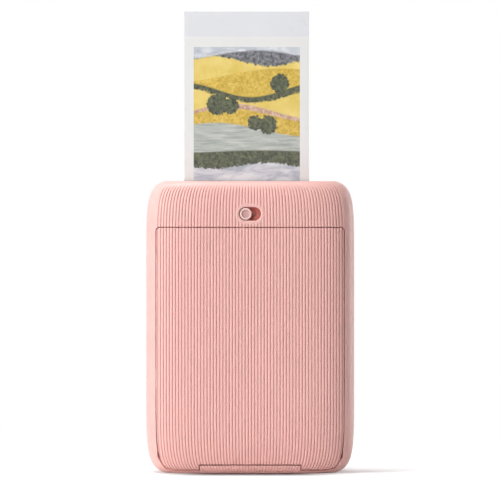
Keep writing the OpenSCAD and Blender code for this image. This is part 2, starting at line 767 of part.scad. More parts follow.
// springs of the pressure plate: distance from its middle, then feet and crest along Z
plate_spring_x = 12;
plate_spring_z = [24, 52, 64, 92];
module film_pack_case() {
    color([0.13, 0.13, 0.14])
    difference() {
        span([film_x - pack_w / 2, film_x + pack_w / 2], pack_y, [pack_z, pack_z + pack_h]);
        difference() {
            span(case_in_x, case_in_y, case_in_z);
            // ledges that the sheets stand on
            for (x = [[case_in_x[0], case_in_x[0] + ledge_w], [case_in_x[1] - ledge_w, case_in_x[1]]])
                span(x, [plate_y[0] - set_fit, stack_face + set_fit], [case_in_z[0], sheet_z]);
        }
        for (side = [-1, 1])
            span([side * leaf[0] - leaf[1] - case_wall, side * leaf[0] + leaf[1] + case_wall],
                [pack_y[0] - over, case_in_y[0] + eps], [leaf_z[1], leaf_z[4]]);
        span(window_x, [case_in_y[1] - eps, pack_y[1] + over], case_window_z);
        span(case_in_x, [stack_face + set_fit, case_in_y[1]], [case_in_z[1] - over, pack_z + pack_h + over]);
        span(finger_x + [-2 * set_fit, 2 * set_fit], [case_in_y[1] - eps, pack_y[1] + over], claw_slot);
    }
}
module film_stack() {
    color([0.9, 0.91, 0.9])
    for (i = [0:sheet_count - 1]) {
        y = stack_face - i * (film_t + sheet_gap);
        span([film_x - film_w / 2, film_x + film_w / 2], [y - film_t, y], [sheet_z, sheet_z + film_h]);
    }
}
module pressure_plate() {
    color([0.7, 0.71, 0.72]) {
        span([film_x - film_w / 2 + plate_edge, film_x + film_w / 2 - plate_edge], plate_y,
            [sheet_z, sheet_z + film_h]);
        feet = plate_y[0] - leaf_t / 2;
        crest = case_in_y[0] + run_fit;
        for (side = [-1, 1])
            along_x([film_x + side * plate_spring_x - leaf[1], film_x + side * plate_spring_x + leaf[1]])
                ribbon([[feet, plate_spring_z[0]], [crest, plate_spring_z[1]],
                    [crest, plate_spring_z[2]], [feet, plate_spring_z[3]]], [leaf_t, 0]);
    }
}
picture_t = 0.1;
picture_top = 15.3;
picture_z = [print_z + film_h - picture_top - picture_h, print_z + film_h - picture_top];
module photo_print() {
    color([0.92, 0.93, 0.93])
    difference() {
        span([film_x - film_w / 2, film_x + film_w / 2], [film_y - film_half, film_y + film_half],
            [print_z, print_z + film_h]);
        span([film_x - picture_w / 2, film_x + picture_w / 2],
            [film_y - film_half - over, film_y - film_half + picture_t], picture_z);
    }
}
module print_picture() {
    color([0.75, 0.72, 0.4])
    span([film_x - picture_w / 2, film_x + picture_w / 2],
        [film_y - film_half, film_y - film_half + picture_t], picture_z);
}

// rollers, bushes and brackets
drive_y = film_y + film_half + run_fit + roller_r;
pinch_y = film_y - film_half - run_fit - roller_r;
shaft_r = 1.25;
bush_r = 1.9;
bush_flange_r = 2.4;
bush_flange = 0.6;
slot_end = -6.6;
left_x = [chamber_x[0] - bracket_t, chamber_x[0]];
right_x = [chamber_x[1], chamber_x[1] + bracket_t];
layer_one = [right_x[1] + 0.4, right_x[1] + 2.4];
layer_two = [layer_one[1] + 0.3, layer_one[1] + 2.1];
module drive_roller() {
    color([0.15, 0.15, 0.16]) {
        rod_x(roller_r, [film_x - film_w / 2, film_x + film_w / 2], drive_y, nip_z);
        rod_x(shaft_r, [left_x[0] - wall / 2, layer_one[1] + wall / 2], drive_y, nip_z);
    }
}
module pinch_roller() {
    color([0.15, 0.15, 0.16]) {
        rod_x(roller_r, [film_x - film_w / 2, film_x + film_w / 2], pinch_y, nip_z);
        rod_x(shaft_r, [left_x[0] - wall / 2, right_x[1] + bush_flange / 2], pinch_y, nip_z);
    }
}
module roller_bushes() {
    color([0.93, 0.92, 0.88])
    for (y = [drive_y, pinch_y], side = [-1, 1]) difference() {
        union() {
            rod_x(bush_r, side > 0 ? right_x : left_x, y, nip_z);
            rod_x(bush_flange_r, side > 0 ? [right_x[0] - bush_flange, right_x[0]]
                : [left_x[1], left_x[1] + bush_flange], y, nip_z);
        }
        rod_x(shaft_r + run_fit, [-half_w, half_w], y, nip_z);
    }
}
module pinch_springs() {
    color([0.72, 0.72, 0.74])
    for (x = [left_x, right_x])
        along_x(x) meander(slot_end, pinch_y - bush_r, nip_z, 4 * spring_wire, 3, spring_wire);
}
module bracket_plate(x, y, z, screws) {
    difference() {
        span(x, y, z);
        for (p = [drive_y, pinch_y]) rod_x(bush_r, x + [-over, over], p, nip_z);
        span(x + [-over, over], [slot_end, pinch_y], [nip_z - bush_r, nip_z + bush_r]);
        for (p = screws) rod_x(screw_hole_r, x + [-over, over], p[0], p[1]);
    }
}
module roller_bracket_left() {
    color([0.68, 0.69, 0.7])
    bracket_plate(left_x, bracket_left_y, bracket_left_z, bracket_screws_left);
}

// gear train in the plane of Y and Z: tooth module, then the teeth of each wheel
gear_module = 0.5;
roller_teeth = 22;
idler_teeth = 20;
small_teeth = 10;
large_teeth = 24;
pinion_teeth = 10;
motor_at = [10, 92];
drive_at = [drive_y, nip_z];
idler_dy = -1.65;
roller_gap = gear_module * (roller_teeth + idler_teeth) / 2;
idler_at = drive_at + [idler_dy, -sqrt(pow(roller_gap, 2) - pow(idler_dy, 2))];
small_gap = gear_module * (idler_teeth + small_teeth) / 2;
large_gap = gear_module * (large_teeth + pinion_teeth) / 2;
span_vector = motor_at - idler_at;
span_length = norm(span_vector);
along = (pow(small_gap, 2) - pow(large_gap, 2) + pow(span_length, 2)) / (2 * span_length);
aside = sqrt(pow(small_gap, 2) - pow(along, 2));
unit = span_vector / span_length;
reduction_at = idler_at + along * unit + aside * [unit[1], -unit[0]];
axle_r = 1;
motor_r = 5;
motor_flat = 4;
motor_l = 20;
motor_boss_r = 2.4;
motor_shaft_r = 0.75;
module roller_bracket_right() {
    color([0.68, 0.69, 0.7])
    difference() {
        bracket_plate(right_x, bracket_right_y, bracket_right_z, bracket_screws_right);
        rod_x(motor_boss_r + set_fit, right_x + [-over, over], motor_at[0], motor_at[1]);
        for (p = [idler_at, reduction_at]) rod_x(axle_r, right_x + [-over, over], p[0], p[1]);
    }
}
module bracket_screws() {
    color([0.6, 0.6, 0.62]) {
        for (p = bracket_screws_left) {
            rod_x(screw_r, [left_x[0] - eps, chamber_in_x[0]], p[0], p[1]);
            rod_x(screw_head_r, [left_x[0] - screw_head_h, left_x[0]], p[0], p[1]);
        }
        for (p = bracket_screws_right) {
            rod_x(screw_r, [chamber_in_x[1], right_x[1] + eps], p[0], p[1]);
            rod_x(screw_head_r, [right_x[1], right_x[1] + screw_head_h], p[0], p[1]);
        }
    }
}

// involute gear: outline in 2D with a tooth centred at angle phase
pressure_angle = 20;
addendum = 0.85;
dedendum = 1.2;
function inv(a) = tan(a) - a * PI / 180;
function turn_to(a, b) = atan2(b[1] - a[1], b[0] - a[0]);
function mesh_phase(phase, teeth, next_teeth, angle) =
    angle + 180 - (phase - angle) * teeth / next_teeth + 180 / next_teeth;
module gear_outline(teeth, phase) {
    pitch = gear_module * teeth / 2;
    base = pitch * cos(pressure_angle);
    root = pitch - dedendum * gear_module;
    tip = pitch + addendum * gear_module;
    low = max(base, root + eps);
    // half the angle that a tooth takes at a radius
    half_at = function(r) 90 / teeth - backlash / 4 / pitch * 180 / PI
        + (inv(pressure_angle) - inv(acos(min(1, base / r)))) * 180 / PI;
    flank = [root, low, (low + pitch) / 2, pitch, (pitch + tip) / 2, tip];
    polygon([for (i = [0:teeth - 1]) each concat(
        [for (r = flank) let (a = phase + i * 360 / teeth - half_at(max(r, low)))
            r * [cos(a), sin(a)]],
        [for (r = reversed(flank)) let (a = phase + i * 360 / teeth + half_at(max(r, low)))
            r * [cos(a), sin(a)]])]);
}
roller_phase = turn_to(drive_at, idler_at);
idler_phase = mesh_phase(roller_phase, roller_teeth, idler_teeth, turn_to(drive_at, idler_at));
small_phase = mesh_phase(idler_phase, idler_teeth, small_teeth, turn_to(idler_at, reduction_at));
large_phase = turn_to(reduction_at, motor_at);
pinion_phase = mesh_phase(large_phase, large_teeth, pinion_teeth, large_phase);
module gear_at(at, x, teeth, phase) {
    translate([0, at[0], at[1]]) along_x(x) gear_outline(teeth, phase);
}
module drive_roller_gear() {
    color([0.9, 0.89, 0.84])
    difference() {
        gear_at(drive_at, layer_one, roller_teeth, roller_phase);
        rod_x(shaft_r, layer_one + [-over, over], drive_at[0], drive_at[1]);
    }
}
module idler_gear() {
    color([0.9, 0.89, 0.84])
    difference() {
        gear_at(idler_at, layer_one, idler_teeth, idler_phase);
        rod_x(axle_r + run_fit, layer_one + [-over, over], idler_at[0], idler_at[1]);
    }
}
module reduction_gear() {
    color([0.9, 0.89, 0.84])
    difference() {
        union() {
            gear_at(reduction_at, [layer_one[0], layer_two[0] + eps], small_teeth, small_phase);
            gear_at(reduction_at, layer_two, large_teeth, large_phase);
        }
        rod_x(axle_r + run_fit, [layer_one[0] - over, layer_two[1] + over],
            reduction_at[0], reduction_at[1]);
    }
}
module gear_axles() {
    color([0.75, 0.75, 0.77]) {
        rod_x(axle_r, [right_x[0], layer_one[1] + axle_r / 4], idler_at[0], idler_at[1]);
        rod_x(axle_r, [right_x[0], layer_two[1] + axle_r / 2], reduction_at[0], reduction_at[1]);
    }
}
module motor() {
    color([0.7, 0.71, 0.72])
    difference() {
        union() {
            intersection() {
                rod_x(motor_r, [right_x[0] - motor_l, right_x[0]], motor_at[0], motor_at[1]);
                span([0, half_w], [0, half_d],
                    [motor_at[1] - motor_flat, motor_at[1] + motor_flat]);
            }
            rod_x(motor_boss_r, [right_x[0] - eps, right_x[1] - set_fit], motor_at[0], motor_at[1]);
        }
        rod_x(motor_shaft_r + run_fit, [right_x[0] - over, right_x[1] + over],
            motor_at[0], motor_at[1]);
    }
}
module motor_pinion() {
    color([0.8, 0.66, 0.35]) {
        gear_at(motor_at, layer_two, pinion_teeth, pinion_phase);
        rod_x(motor_shaft_r, [right_x[0] - over + run_fit, layer_two[1]], motor_at[0], motor_at[1]);
    }
}

// exposing head with its rod lens
head_edge = 2.6;
head_y = [4, 12];
head_z = [98, 105];
lens_in = 0.1;
lens_x = [window_x[0] + lens_in, window_x[1] - lens_in];
head_x = [lens_x[0] - head_edge, lens_x[1] + head_edge];
lens_y = [2.7, 6];
lens_z = [99.4, 101.2];
module print_head() {
    color([0.22, 0.22, 0.24])
    difference() {
        span(head_x, head_y, head_z);
        span(lens_x, [head_y[0] - over, lens_y[1]], lens_z);
    }
}
module lens_array() {
    color([0.75, 0.85, 0.85])
    span(lens_x, lens_y, lens_z);
}
ribbon_x = [-14, -4];
ribbon_t = 0.3;
// plug of the cable: half its height, its thickness, how far it is wider
ribbon_plug = [3, 1.2, 0.8];
module ribbon_cable() {
    color([0.8, 0.55, 0.25]) {
        span(ribbon_x, [board_y[1], board_y[1] + ribbon_t], [board_z[1] - ribbon_plug[0], head_z[0]]);
        span(ribbon_x + [-ribbon_plug[2], ribbon_plug[2]], [board_y[1], board_y[1] + ribbon_plug[1]],
            [board_z[1] - 2 * ribbon_plug[0], board_z[1] - ribbon_plug[0]]);
    }
}

// board and what stands on it
board_edge = 8;
board_x = [board_edge - half_w, 27];
board_z = [14, 84];
battery_x = [-30, 10];
battery_y = [4, 8.4];
battery_z = [36, 82];
module main_board() {
    color([0.1, 0.35, 0.2])
    difference() {
        span(board_x, board_y, board_z);
        for (x = board_post_x, z = board_post_z) rod_y(screw_hole_r, x, board_y + [-over, over], z);
        // notches round the bosses of the chamber's tabs
        for (z = tab_rows) rod_y(tab_r + set_fit, tab_x[0], board_y + [-over, over], z);
    }
}
module board_screws() {
    color([0.6, 0.6, 0.62])
    for (x = board_post_x, z = board_post_z)
        screw_y(x, z, board_y[1], board_y[1] - board_y[0] + board_screw_l, -1);
}
shield = [9, 2.2, 8];
module radio_shield() {
    color([0.78, 0.79, 0.8])
    span([-shield[0], shield[0]], [board_y[1], board_y[1] + shield[1]],
        [port_z - 2 * shield[2] + 1, port_z]);
}
module battery() {
    color([0.55, 0.57, 0.6])
    span(battery_x, battery_y, battery_z);
}
switch_half = 3;
switch_face = 13;
stem_tip = 12.4;
stem_r = 0.8;
module power_switch() {
    color([0.25, 0.25, 0.27])
    difference() {
        span([-switch_half, switch_half], [board_y[1], switch_face],
            [button_z - switch_half, button_z + switch_half]);
        rod_y(stem_r + 2 * run_fit, 0, [stem_tip - 2 * button_travel, switch_face + over], button_z);
    }
}
button_lip_y = [13.9, 14.9];
// dish: its radius and its depth
button_dish = [40, 0.3];
module power_button() {
    color([0.97, 0.86, 0.84])
    difference() {
        union() {
            rod_y(button_r, 0, [button_lip_y[1] - eps, button_face], button_z);
            rod_y(button_lip_r, 0, button_lip_y, button_z);
            rod_y(stem_r, 0, [stem_tip, button_lip_y[0] + eps], button_z);
        }
        // shallow dish in the button
        translate([0, button_face + button_dish[0] - button_dish[1], button_z]) sphere(r = button_dish[0]);
    }
}
module light_ring() {
    color([0.98, 0.97, 0.93])
    difference() {
        union() {
            rod_y(ring_r[1], 0, [ring_seat - ring_flange_t, ring_face], button_z);
            rod_y(ring_flange_r, 0, [ring_seat - ring_flange_t, ring_seat], button_z);
        }
        rod_y(button_r + 2 * run_fit, 0, [ring_seat - over, ring_face + over], button_z);
    }
}
reset_l = 5;
reset_sunk = 2.6;
reset_x = [reset_sunk - half_w, reset_sunk + reset_l - half_w];
// flange: its radius and its thickness
reset_flange = [1.2, 0.6];
// switch behind the reset button: way to it, then its size
reset_gap = 0.8;
reset_body = [3, 2.6, 3];
module reset_button() {
    color([0.9, 0.9, 0.88]) {
        rod_x(reset_r, reset_x, port_y, reset_z);
        rod_x(reset_flange[0], [reset_x[1] - reset_flange[1], reset_x[1]], port_y, reset_z);
    }
}
module reset_switch() {
    color([0.25, 0.25, 0.27])
    span([reset_x[1] + reset_gap, reset_x[1] + reset_gap + reset_body[0]],
        [board_y[1], board_y[1] + reset_body[1]], [reset_z - reset_body[2] / 2, reset_z + reset_body[2] / 2]);
}
usb_wall = 0.3;
usb_back = 1;
usb_tongue = [6.7, 0.7];
module usb_body(w, h, x) {
    r = h / 2;
    span(x, [port_y - r, port_y + r], [port_z - w / 2 + r, port_z + w / 2 - r]);
    for (side = [-1, 1]) rod_x(r, x, port_y, port_z + side * (w / 2 - r));
}
module usb_socket() {
    color([0.8, 0.81, 0.82]) {
        difference() {
            usb_body(usb[1], usb[2], [usb_mouth, usb_mouth + usb[0]]);
            usb_body(usb[1] - 2 * usb_wall, usb[2] - 2 * usb_wall,
                [usb_mouth - over, usb_mouth + usb[0] - usb_back]);
        }
        span([usb_mouth + usb_back, usb_mouth + usb[0] - usb_back + eps],
            [port_y - usb_tongue[1] / 2, port_y + usb_tongue[1] / 2],
            [port_z - usb_tongue[0] / 2, port_z + usb_tongue[0] / 2]);
    }
}
module chassis_screws() {
    color([0.6, 0.6, 0.62])
    for (x = tab_x, z = tab_rows) screw_y(x, z, tab_y[0], chassis_screw_l, 1);
}
module housing_screws() {
    color([0.6, 0.6, 0.62])
    for (side = [-1, 1], z = screw_rows) screw_y(side * screw_x, z, head_seat,
        housing_screw_l, -1);
}

film_door_cover();
rear_housing();
front_housing();
film_door_frame();
hinge_pins();
pack_springs();
door_light_seal();
latch_knob();
latch_slide();
latch_spring();
slot_bezel();
exit_seals();
film_chamber();
pick_claw();
claw_spring();
film_pack_case();
film_stack();
pressure_plate();
photo_print();
print_picture();
drive_roller();
pinch_roller();
roller_bushes();
pinch_springs();
roller_bracket_left();
roller_bracket_right();
bracket_screws();
drive_roller_gear();
idler_gear();
reduction_gear();
gear_axles();
motor();
motor_pinion();
print_head();
lens_array();
ribbon_cable();
main_board();
board_screws();
radio_shield();
battery();
power_switch();
power_button();
light_ring();
reset_button();
reset_switch();
usb_socket();
chassis_screws();
housing_screws();
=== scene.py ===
"""Looks of the compact photo printer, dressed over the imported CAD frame.

The door faces -Y. Scene places are in metres; the outlines and solids of the shells are
written in millimetres and turned into metres by solid().
"""
import json
import math

import bmesh
import bpy
import numpy as np
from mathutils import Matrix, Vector

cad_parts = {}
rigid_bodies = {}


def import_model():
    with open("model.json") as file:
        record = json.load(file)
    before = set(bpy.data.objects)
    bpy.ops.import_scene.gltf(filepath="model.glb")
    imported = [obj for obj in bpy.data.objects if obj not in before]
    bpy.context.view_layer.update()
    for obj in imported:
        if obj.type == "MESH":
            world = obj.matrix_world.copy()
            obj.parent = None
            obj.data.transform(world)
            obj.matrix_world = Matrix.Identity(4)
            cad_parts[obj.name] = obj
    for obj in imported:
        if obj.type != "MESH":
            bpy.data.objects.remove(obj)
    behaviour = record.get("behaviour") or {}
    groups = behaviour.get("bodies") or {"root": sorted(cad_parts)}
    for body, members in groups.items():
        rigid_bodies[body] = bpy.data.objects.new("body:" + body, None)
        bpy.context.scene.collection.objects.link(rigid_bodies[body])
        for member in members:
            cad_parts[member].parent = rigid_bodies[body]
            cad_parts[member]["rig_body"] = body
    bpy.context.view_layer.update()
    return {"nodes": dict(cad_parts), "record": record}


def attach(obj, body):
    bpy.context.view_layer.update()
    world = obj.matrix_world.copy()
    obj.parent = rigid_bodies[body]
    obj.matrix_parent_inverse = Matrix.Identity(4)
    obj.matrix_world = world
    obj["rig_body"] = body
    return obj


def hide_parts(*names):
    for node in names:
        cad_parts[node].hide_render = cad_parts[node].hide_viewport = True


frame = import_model()
NODES = frame["nodes"]
MM = 0.001


# Colours and shader nodes
def rgb(r, g, b):
    """0 to 255 screen values as a linear colour."""
    def lin(c):
        c /= 255
        return c / 12.92 if c <= 0.04045 else ((c + 0.055) / 1.055) ** 2.4
    return (lin(r), lin(g), lin(b), 1.0)


class Shader:
    """A principled material with small helpers for its node tree."""

    def __init__(self, name, colour, rough=0.5, metal=0.0, spec=0.5, coat=0.0, sheen=0.0,
                 transmission=0.0, ior=1.46):
        self.mat = bpy.data.materials.new(name)
        self.mat.use_nodes = True
        self.tree = self.mat.node_tree
        self.out = self.tree.nodes["Material Output"]
        self.bsdf = self.tree.nodes["Principled BSDF"]
        put = self.bsdf.inputs
        put["Base Color"].default_value = colour
        put["Roughness"].default_value = rough
        put["Metallic"].default_value = metal
        put["Specular IOR Level"].default_value = spec
        put["Coat Weight"].default_value = coat
        put["Coat Roughness"].default_value = 0.1
        put["Sheen Weight"].default_value = sheen
        put["Transmission Weight"].default_value = transmission
        put["IOR"].default_value = ior
        self.colour = colour
        self.rough = rough
        self.coord = self.node("ShaderNodeTexCoord").outputs["Object"]

    def node(self, kind, **settings):
        n = self.tree.nodes.new(kind)
        for key, value in settings.items():
            setattr(n, key, value)
        return n

    def link(self, source, target):
        self.tree.links.new(source, target)

    def feed(self, socket, value):
        if isinstance(value, bpy.types.NodeSocket):
            self.link(value, socket)
        else:
            socket.default_value = value

    def stretch(self, x, y, z):
        n = self.node("ShaderNodeMapping")
        self.link(self.coord, n.inputs["Vector"])
        n.inputs["Scale"].default_value = (x, y, z)
        return n.outputs["Vector"]

    def noise(self, scale, detail=2.0, rough=0.5, vector=None, distortion=0.0):
        n = self.node("ShaderNodeTexNoise")
        self.link(self.coord if vector is None else vector, n.inputs["Vector"])
        n.inputs["Scale"].default_value = scale
        n.inputs["Detail"].default_value = detail
        n.inputs["Roughness"].default_value = rough
        n.inputs["Distortion"].default_value = distortion
        return n.outputs["Fac"]

    def cells(self, scale, vector):
        n = self.node("ShaderNodeTexVoronoi")
        self.link(vector, n.inputs["Vector"])
        n.inputs["Scale"].default_value = scale
        return n.outputs["Distance"]

    def fit(self, value, low, high, to_low=0.0, to_high=1.0, smooth=False):
        n = self.node("ShaderNodeMapRange", interpolation_type="SMOOTHSTEP" if smooth else "LINEAR")
        self.feed(n.inputs["Value"], value)
        n.inputs["From Min"].default_value = low
        n.inputs["From Max"].default_value = high
        n.inputs["To Min"].default_value = to_low
        n.inputs["To Max"].default_value = to_high
        return n.outputs["Result"]

    def math(self, kind, a, b=0.0):
        n = self.node("ShaderNodeMath", operation=kind)
        self.feed(n.inputs[0], a)
        self.feed(n.inputs[1], b)
        return n.outputs[0]

    def mix(self, share, a, b):
        n = self.node("ShaderNodeMix", data_type="RGBA")
        self.feed(n.inputs["Factor"], share)
        self.feed(n.inputs["A"], a)
        self.feed(n.inputs["B"], b)
        return n.outputs["Result"]

    def axes(self):
        n = self.node("ShaderNodeSeparateXYZ")
        self.link(self.coord, n.inputs[0])
        return n.outputs

    def base(self, value):
        self.link(value, self.bsdf.inputs["Base Color"])

    def mottle(self, scale, amount, value=None):
        """The colour, a little lighter and darker in soft patches."""
        value = self.colour if value is None else value
        n = self.noise(scale, 3.0)
        dark = self.mix(self.fit(n, 0.3, 0.7, 0.0, amount), value, (0, 0, 0, 1))
        return self.mix(self.fit(n, 0.7, 0.3, 0.0, amount * 0.6), dark, (1, 1, 1, 1))

    def gloss(self, scale, spread, detail=3.0, vector=None):
        n = self.noise(scale, detail, vector=vector)
        low, high = max(self.rough - spread, 0.02), min(self.rough + spread, 1.0)
        self.link(self.fit(n, 0.3, 0.7, low, high), self.bsdf.inputs["Roughness"])

    def bump(self, height, depth):
        n = self.node("ShaderNodeBump")
        n.inputs["Strength"].default_value = 1.0
        n.inputs["Distance"].default_value = depth
        self.link(height, n.inputs["Height"])
        self.link(n.outputs["Normal"], self.bsdf.inputs["Normal"])


def plastic(name, colour, rough=0.45, grain=9000, depth=0.000006, patch=60, tone=0.03, **more):
    """Moulded plastic: fine spark-eroded grain, faint flow patches, uneven gloss."""
    s = Shader(name, colour, rough, **more)
    s.base(s.mottle(patch, tone))
    s.gloss(500, 0.06)
    s.bump(s.noise(grain, 4.0, 0.6), depth)
    return s


# Latch and its recess in millimetres, used by the materials and by the shells
RECESS_X, RECESS_Z, RECESS_W, RECESS_H = -0.1, 111.9, 9.48, 5.84
KNOB_X = -1.9
# where the painted shade of the recess sets in across, upwards and in depth, in metres
RECESS_SHADE_BOUNDS = ((0.0052, 0.0049), (0.0034, 0.0031), (-0.0150, -0.0152))


# Materials
CREST = rgb(246, 194, 187)
# painted shade in the grooves
GROOVE_SHADE = rgb(201, 137, 129)
# painted shade along the door's seam
SEAM_SHADE = rgb(120, 62, 54)


def shell_material():
    """Satin pink plastic; painted shade darkens the grooves, and more deeply the door's seam, read
    from the mesh.
    """
    s = Shader("pink_shell", CREST, 0.42, spec=0.4)
    depth_and_shade = s.node("ShaderNodeAttribute", attribute_name="depth_and_shade").outputs["Fac"]
    # painted shade: the grooves darken with the depth share read from the mesh
    deep = s.mix(s.fit(depth_and_shade, 0.0, 1.0, 0.0, 0.9), s.mottle(45, 0.02), GROOVE_SHADE)
    # painted shade, darker still, along the door's seam
    s.base(s.mix(s.fit(depth_and_shade, 1.1, 2.0), deep, SEAM_SHADE))
    s.gloss(700, 0.05)
    s.bump(s.noise(9000, 4.0, 0.65), 0.000006)
    return s.mat


MATS = {}
MATS["shell"] = shell_material()


def inner_shell():
    """Inside of the shell; the latch's recess is darkened by painted shade."""
    s = Shader("pink_inside", rgb(224, 160, 152), 0.5)
    x, y, z = s.axes()
    across = s.math("ABSOLUTE", s.math("SUBTRACT", x, RECESS_X * MM))
    upwards = s.math("ABSOLUTE", s.math("SUBTRACT", z, RECESS_Z * MM))
    recess_shade = s.math("MULTIPLY", s.fit(across, *RECESS_SHADE_BOUNDS[0]), s.fit(upwards, *RECESS_SHADE_BOUNDS[1]))
    recess_shade = s.math("MULTIPLY", recess_shade, s.fit(y, *RECESS_SHADE_BOUNDS[2]))
    # painted shade in the latch's recess
    s.base(s.mix(recess_shade, s.mottle(60, 0.05), rgb(172, 86, 74)))
    s.gloss(500, 0.06)
    s.bump(s.noise(9000, 4.0, 0.6), 0.000006)
    return s.mat


MATS["shell_inside"] = inner_shell()
# the slide is a lighter pink as painted light, to offset the shade it sits in behind the recess's
# slot
MATS["slide"] = plastic("pink_slide", rgb(236, 150, 138), 0.5, tone=0.04).mat


def knob_plastic():
    """Pale glossy pink; the dish of the latch's knob is darkened by painted shade."""
    s = plastic("pink_trim", rgb(240, 205, 199), 0.3, grain=14000, depth=0.000002, tone=0.02,
                coat=0.15)
    x, _, z = s.axes()
    dx, dz = s.math("SUBTRACT", x, KNOB_X * MM), s.math("SUBTRACT", z, RECESS_Z * MM)
    r = s.math("SQRT", s.math("ADD", s.math("MULTIPLY", dx, dx), s.math("MULTIPLY", dz, dz)))
    # painted shade in the knob's dish
    dish = s.fit(r, 0.00195, 0.00165, smooth=True)
    s.base(s.mix(dish, s.mottle(60, 0.02), rgb(206, 158, 151)))
    return s.mat


MATS["trim"] = knob_plastic()
MATS["dark_plastic"] = plastic("dark_moulding", rgb(52, 51, 54), 0.5, grain=5000,
                               depth=0.00001, tone=0.12).mat
MATS["gear_plastic"] = plastic("gear_moulding", rgb(232, 228, 214), 0.38, tone=0.04).mat


def metal(name, colour, rough, along=(1, 1, 1), scale=3000, tone=0.06):
    s = Shader(name, colour, rough, metal=1.0)
    lines = s.stretch(*along)
    s.base(s.mottle(150, tone))
    s.gloss(scale, rough * 0.4, 4.0, lines)
    s.bump(s.noise(scale, 4.0, 0.6, lines), 0.000003)
    return s.mat


MATS["spring_steel"] = metal("spring_strip", rgb(196, 196, 200), 0.28, (1, 1, 0.08))
MATS["steel"] = metal("turned_steel", rgb(190, 190, 194), 0.3, (1, 0.2, 1))
MATS["brass"] = metal("turned_brass", rgb(222, 184, 112), 0.25, (0.1, 1, 1))
MATS["tin"] = metal("tinned_sheet", rgb(205, 207, 210), 0.32, (0.2, 1, 1), 1200)


def felt():
    s = Shader("black_felt", rgb(38, 37, 38), 0.95, spec=0.15, sheen=0.4)
    hairs = s.cells(5200, s.stretch(1, 1, 0.3))
    s.base(s.mix(s.fit(hairs, 0.1, 0.8, 0.0, 0.5), s.mottle(900, 0.2), (0.0, 0.0, 0.0, 1)))
    s.bump(hairs, 0.00012)
    return s.mat


MATS["foam"] = felt()


def ground_rubber():
    s = Shader("ground_rubber", rgb(46, 45, 47), 0.75, spec=0.3)
    grit = s.noise(5200, 5.0, 0.7)
    s.base(s.mix(s.fit(grit, 0.45, 0.7), rgb(40, 39, 41), rgb(66, 65, 66)))
    s.bump(grit, 0.00003)
    return s.mat


MATS["rubber"] = ground_rubber()


# height of the fold above the picture and half the width of the painted highlight along its crease,
# in metres
POD_Z, FOLD = 0.18835, 0.00045


def film_sheet():
    """Satin white film border; the end with the chemicals is a shade darker above its fold."""
    s = Shader("film_sheet", rgb(240, 241, 242), 0.32, spec=0.4)
    _, y, z = s.axes()
    pod = s.fit(z, POD_Z, POD_Z + 0.00025, smooth=True)
    tone = s.mix(pod, rgb(240, 240, 239), rgb(234, 235, 239))
    # painted highlight: a lighter line along the fold
    fold = s.math("MULTIPLY", s.fit(z, POD_Z - FOLD, POD_Z), s.fit(z, POD_Z + FOLD, POD_Z))
    face = s.mottle(40, 0.012, s.mix(s.math("MULTIPLY", fold, 0.35), tone, rgb(250, 250, 252)))
    # the sheet's back is black card
    back = s.math("MULTIPLY", s.fit(y, 0.00090, 0.00095), s.fit(z, 0.1, 0.101))
    s.base(s.mix(back, face, s.mottle(600, 0.15, rgb(40, 40, 43))))
    s.gloss(90, 0.05)
    s.bump(s.math("ADD", s.noise(700, 3.0), s.math("MULTIPLY", pod, -1.5)), 0.00002)
    return s.mat


MATS["film"] = film_sheet()


# the picture's middle, lower edge, width and height at rest, in metres
PICTURE_X, PICTURE_Z, PICTURE_W, PICTURE_H = -0.0015, 0.1221, 0.046, 0.062


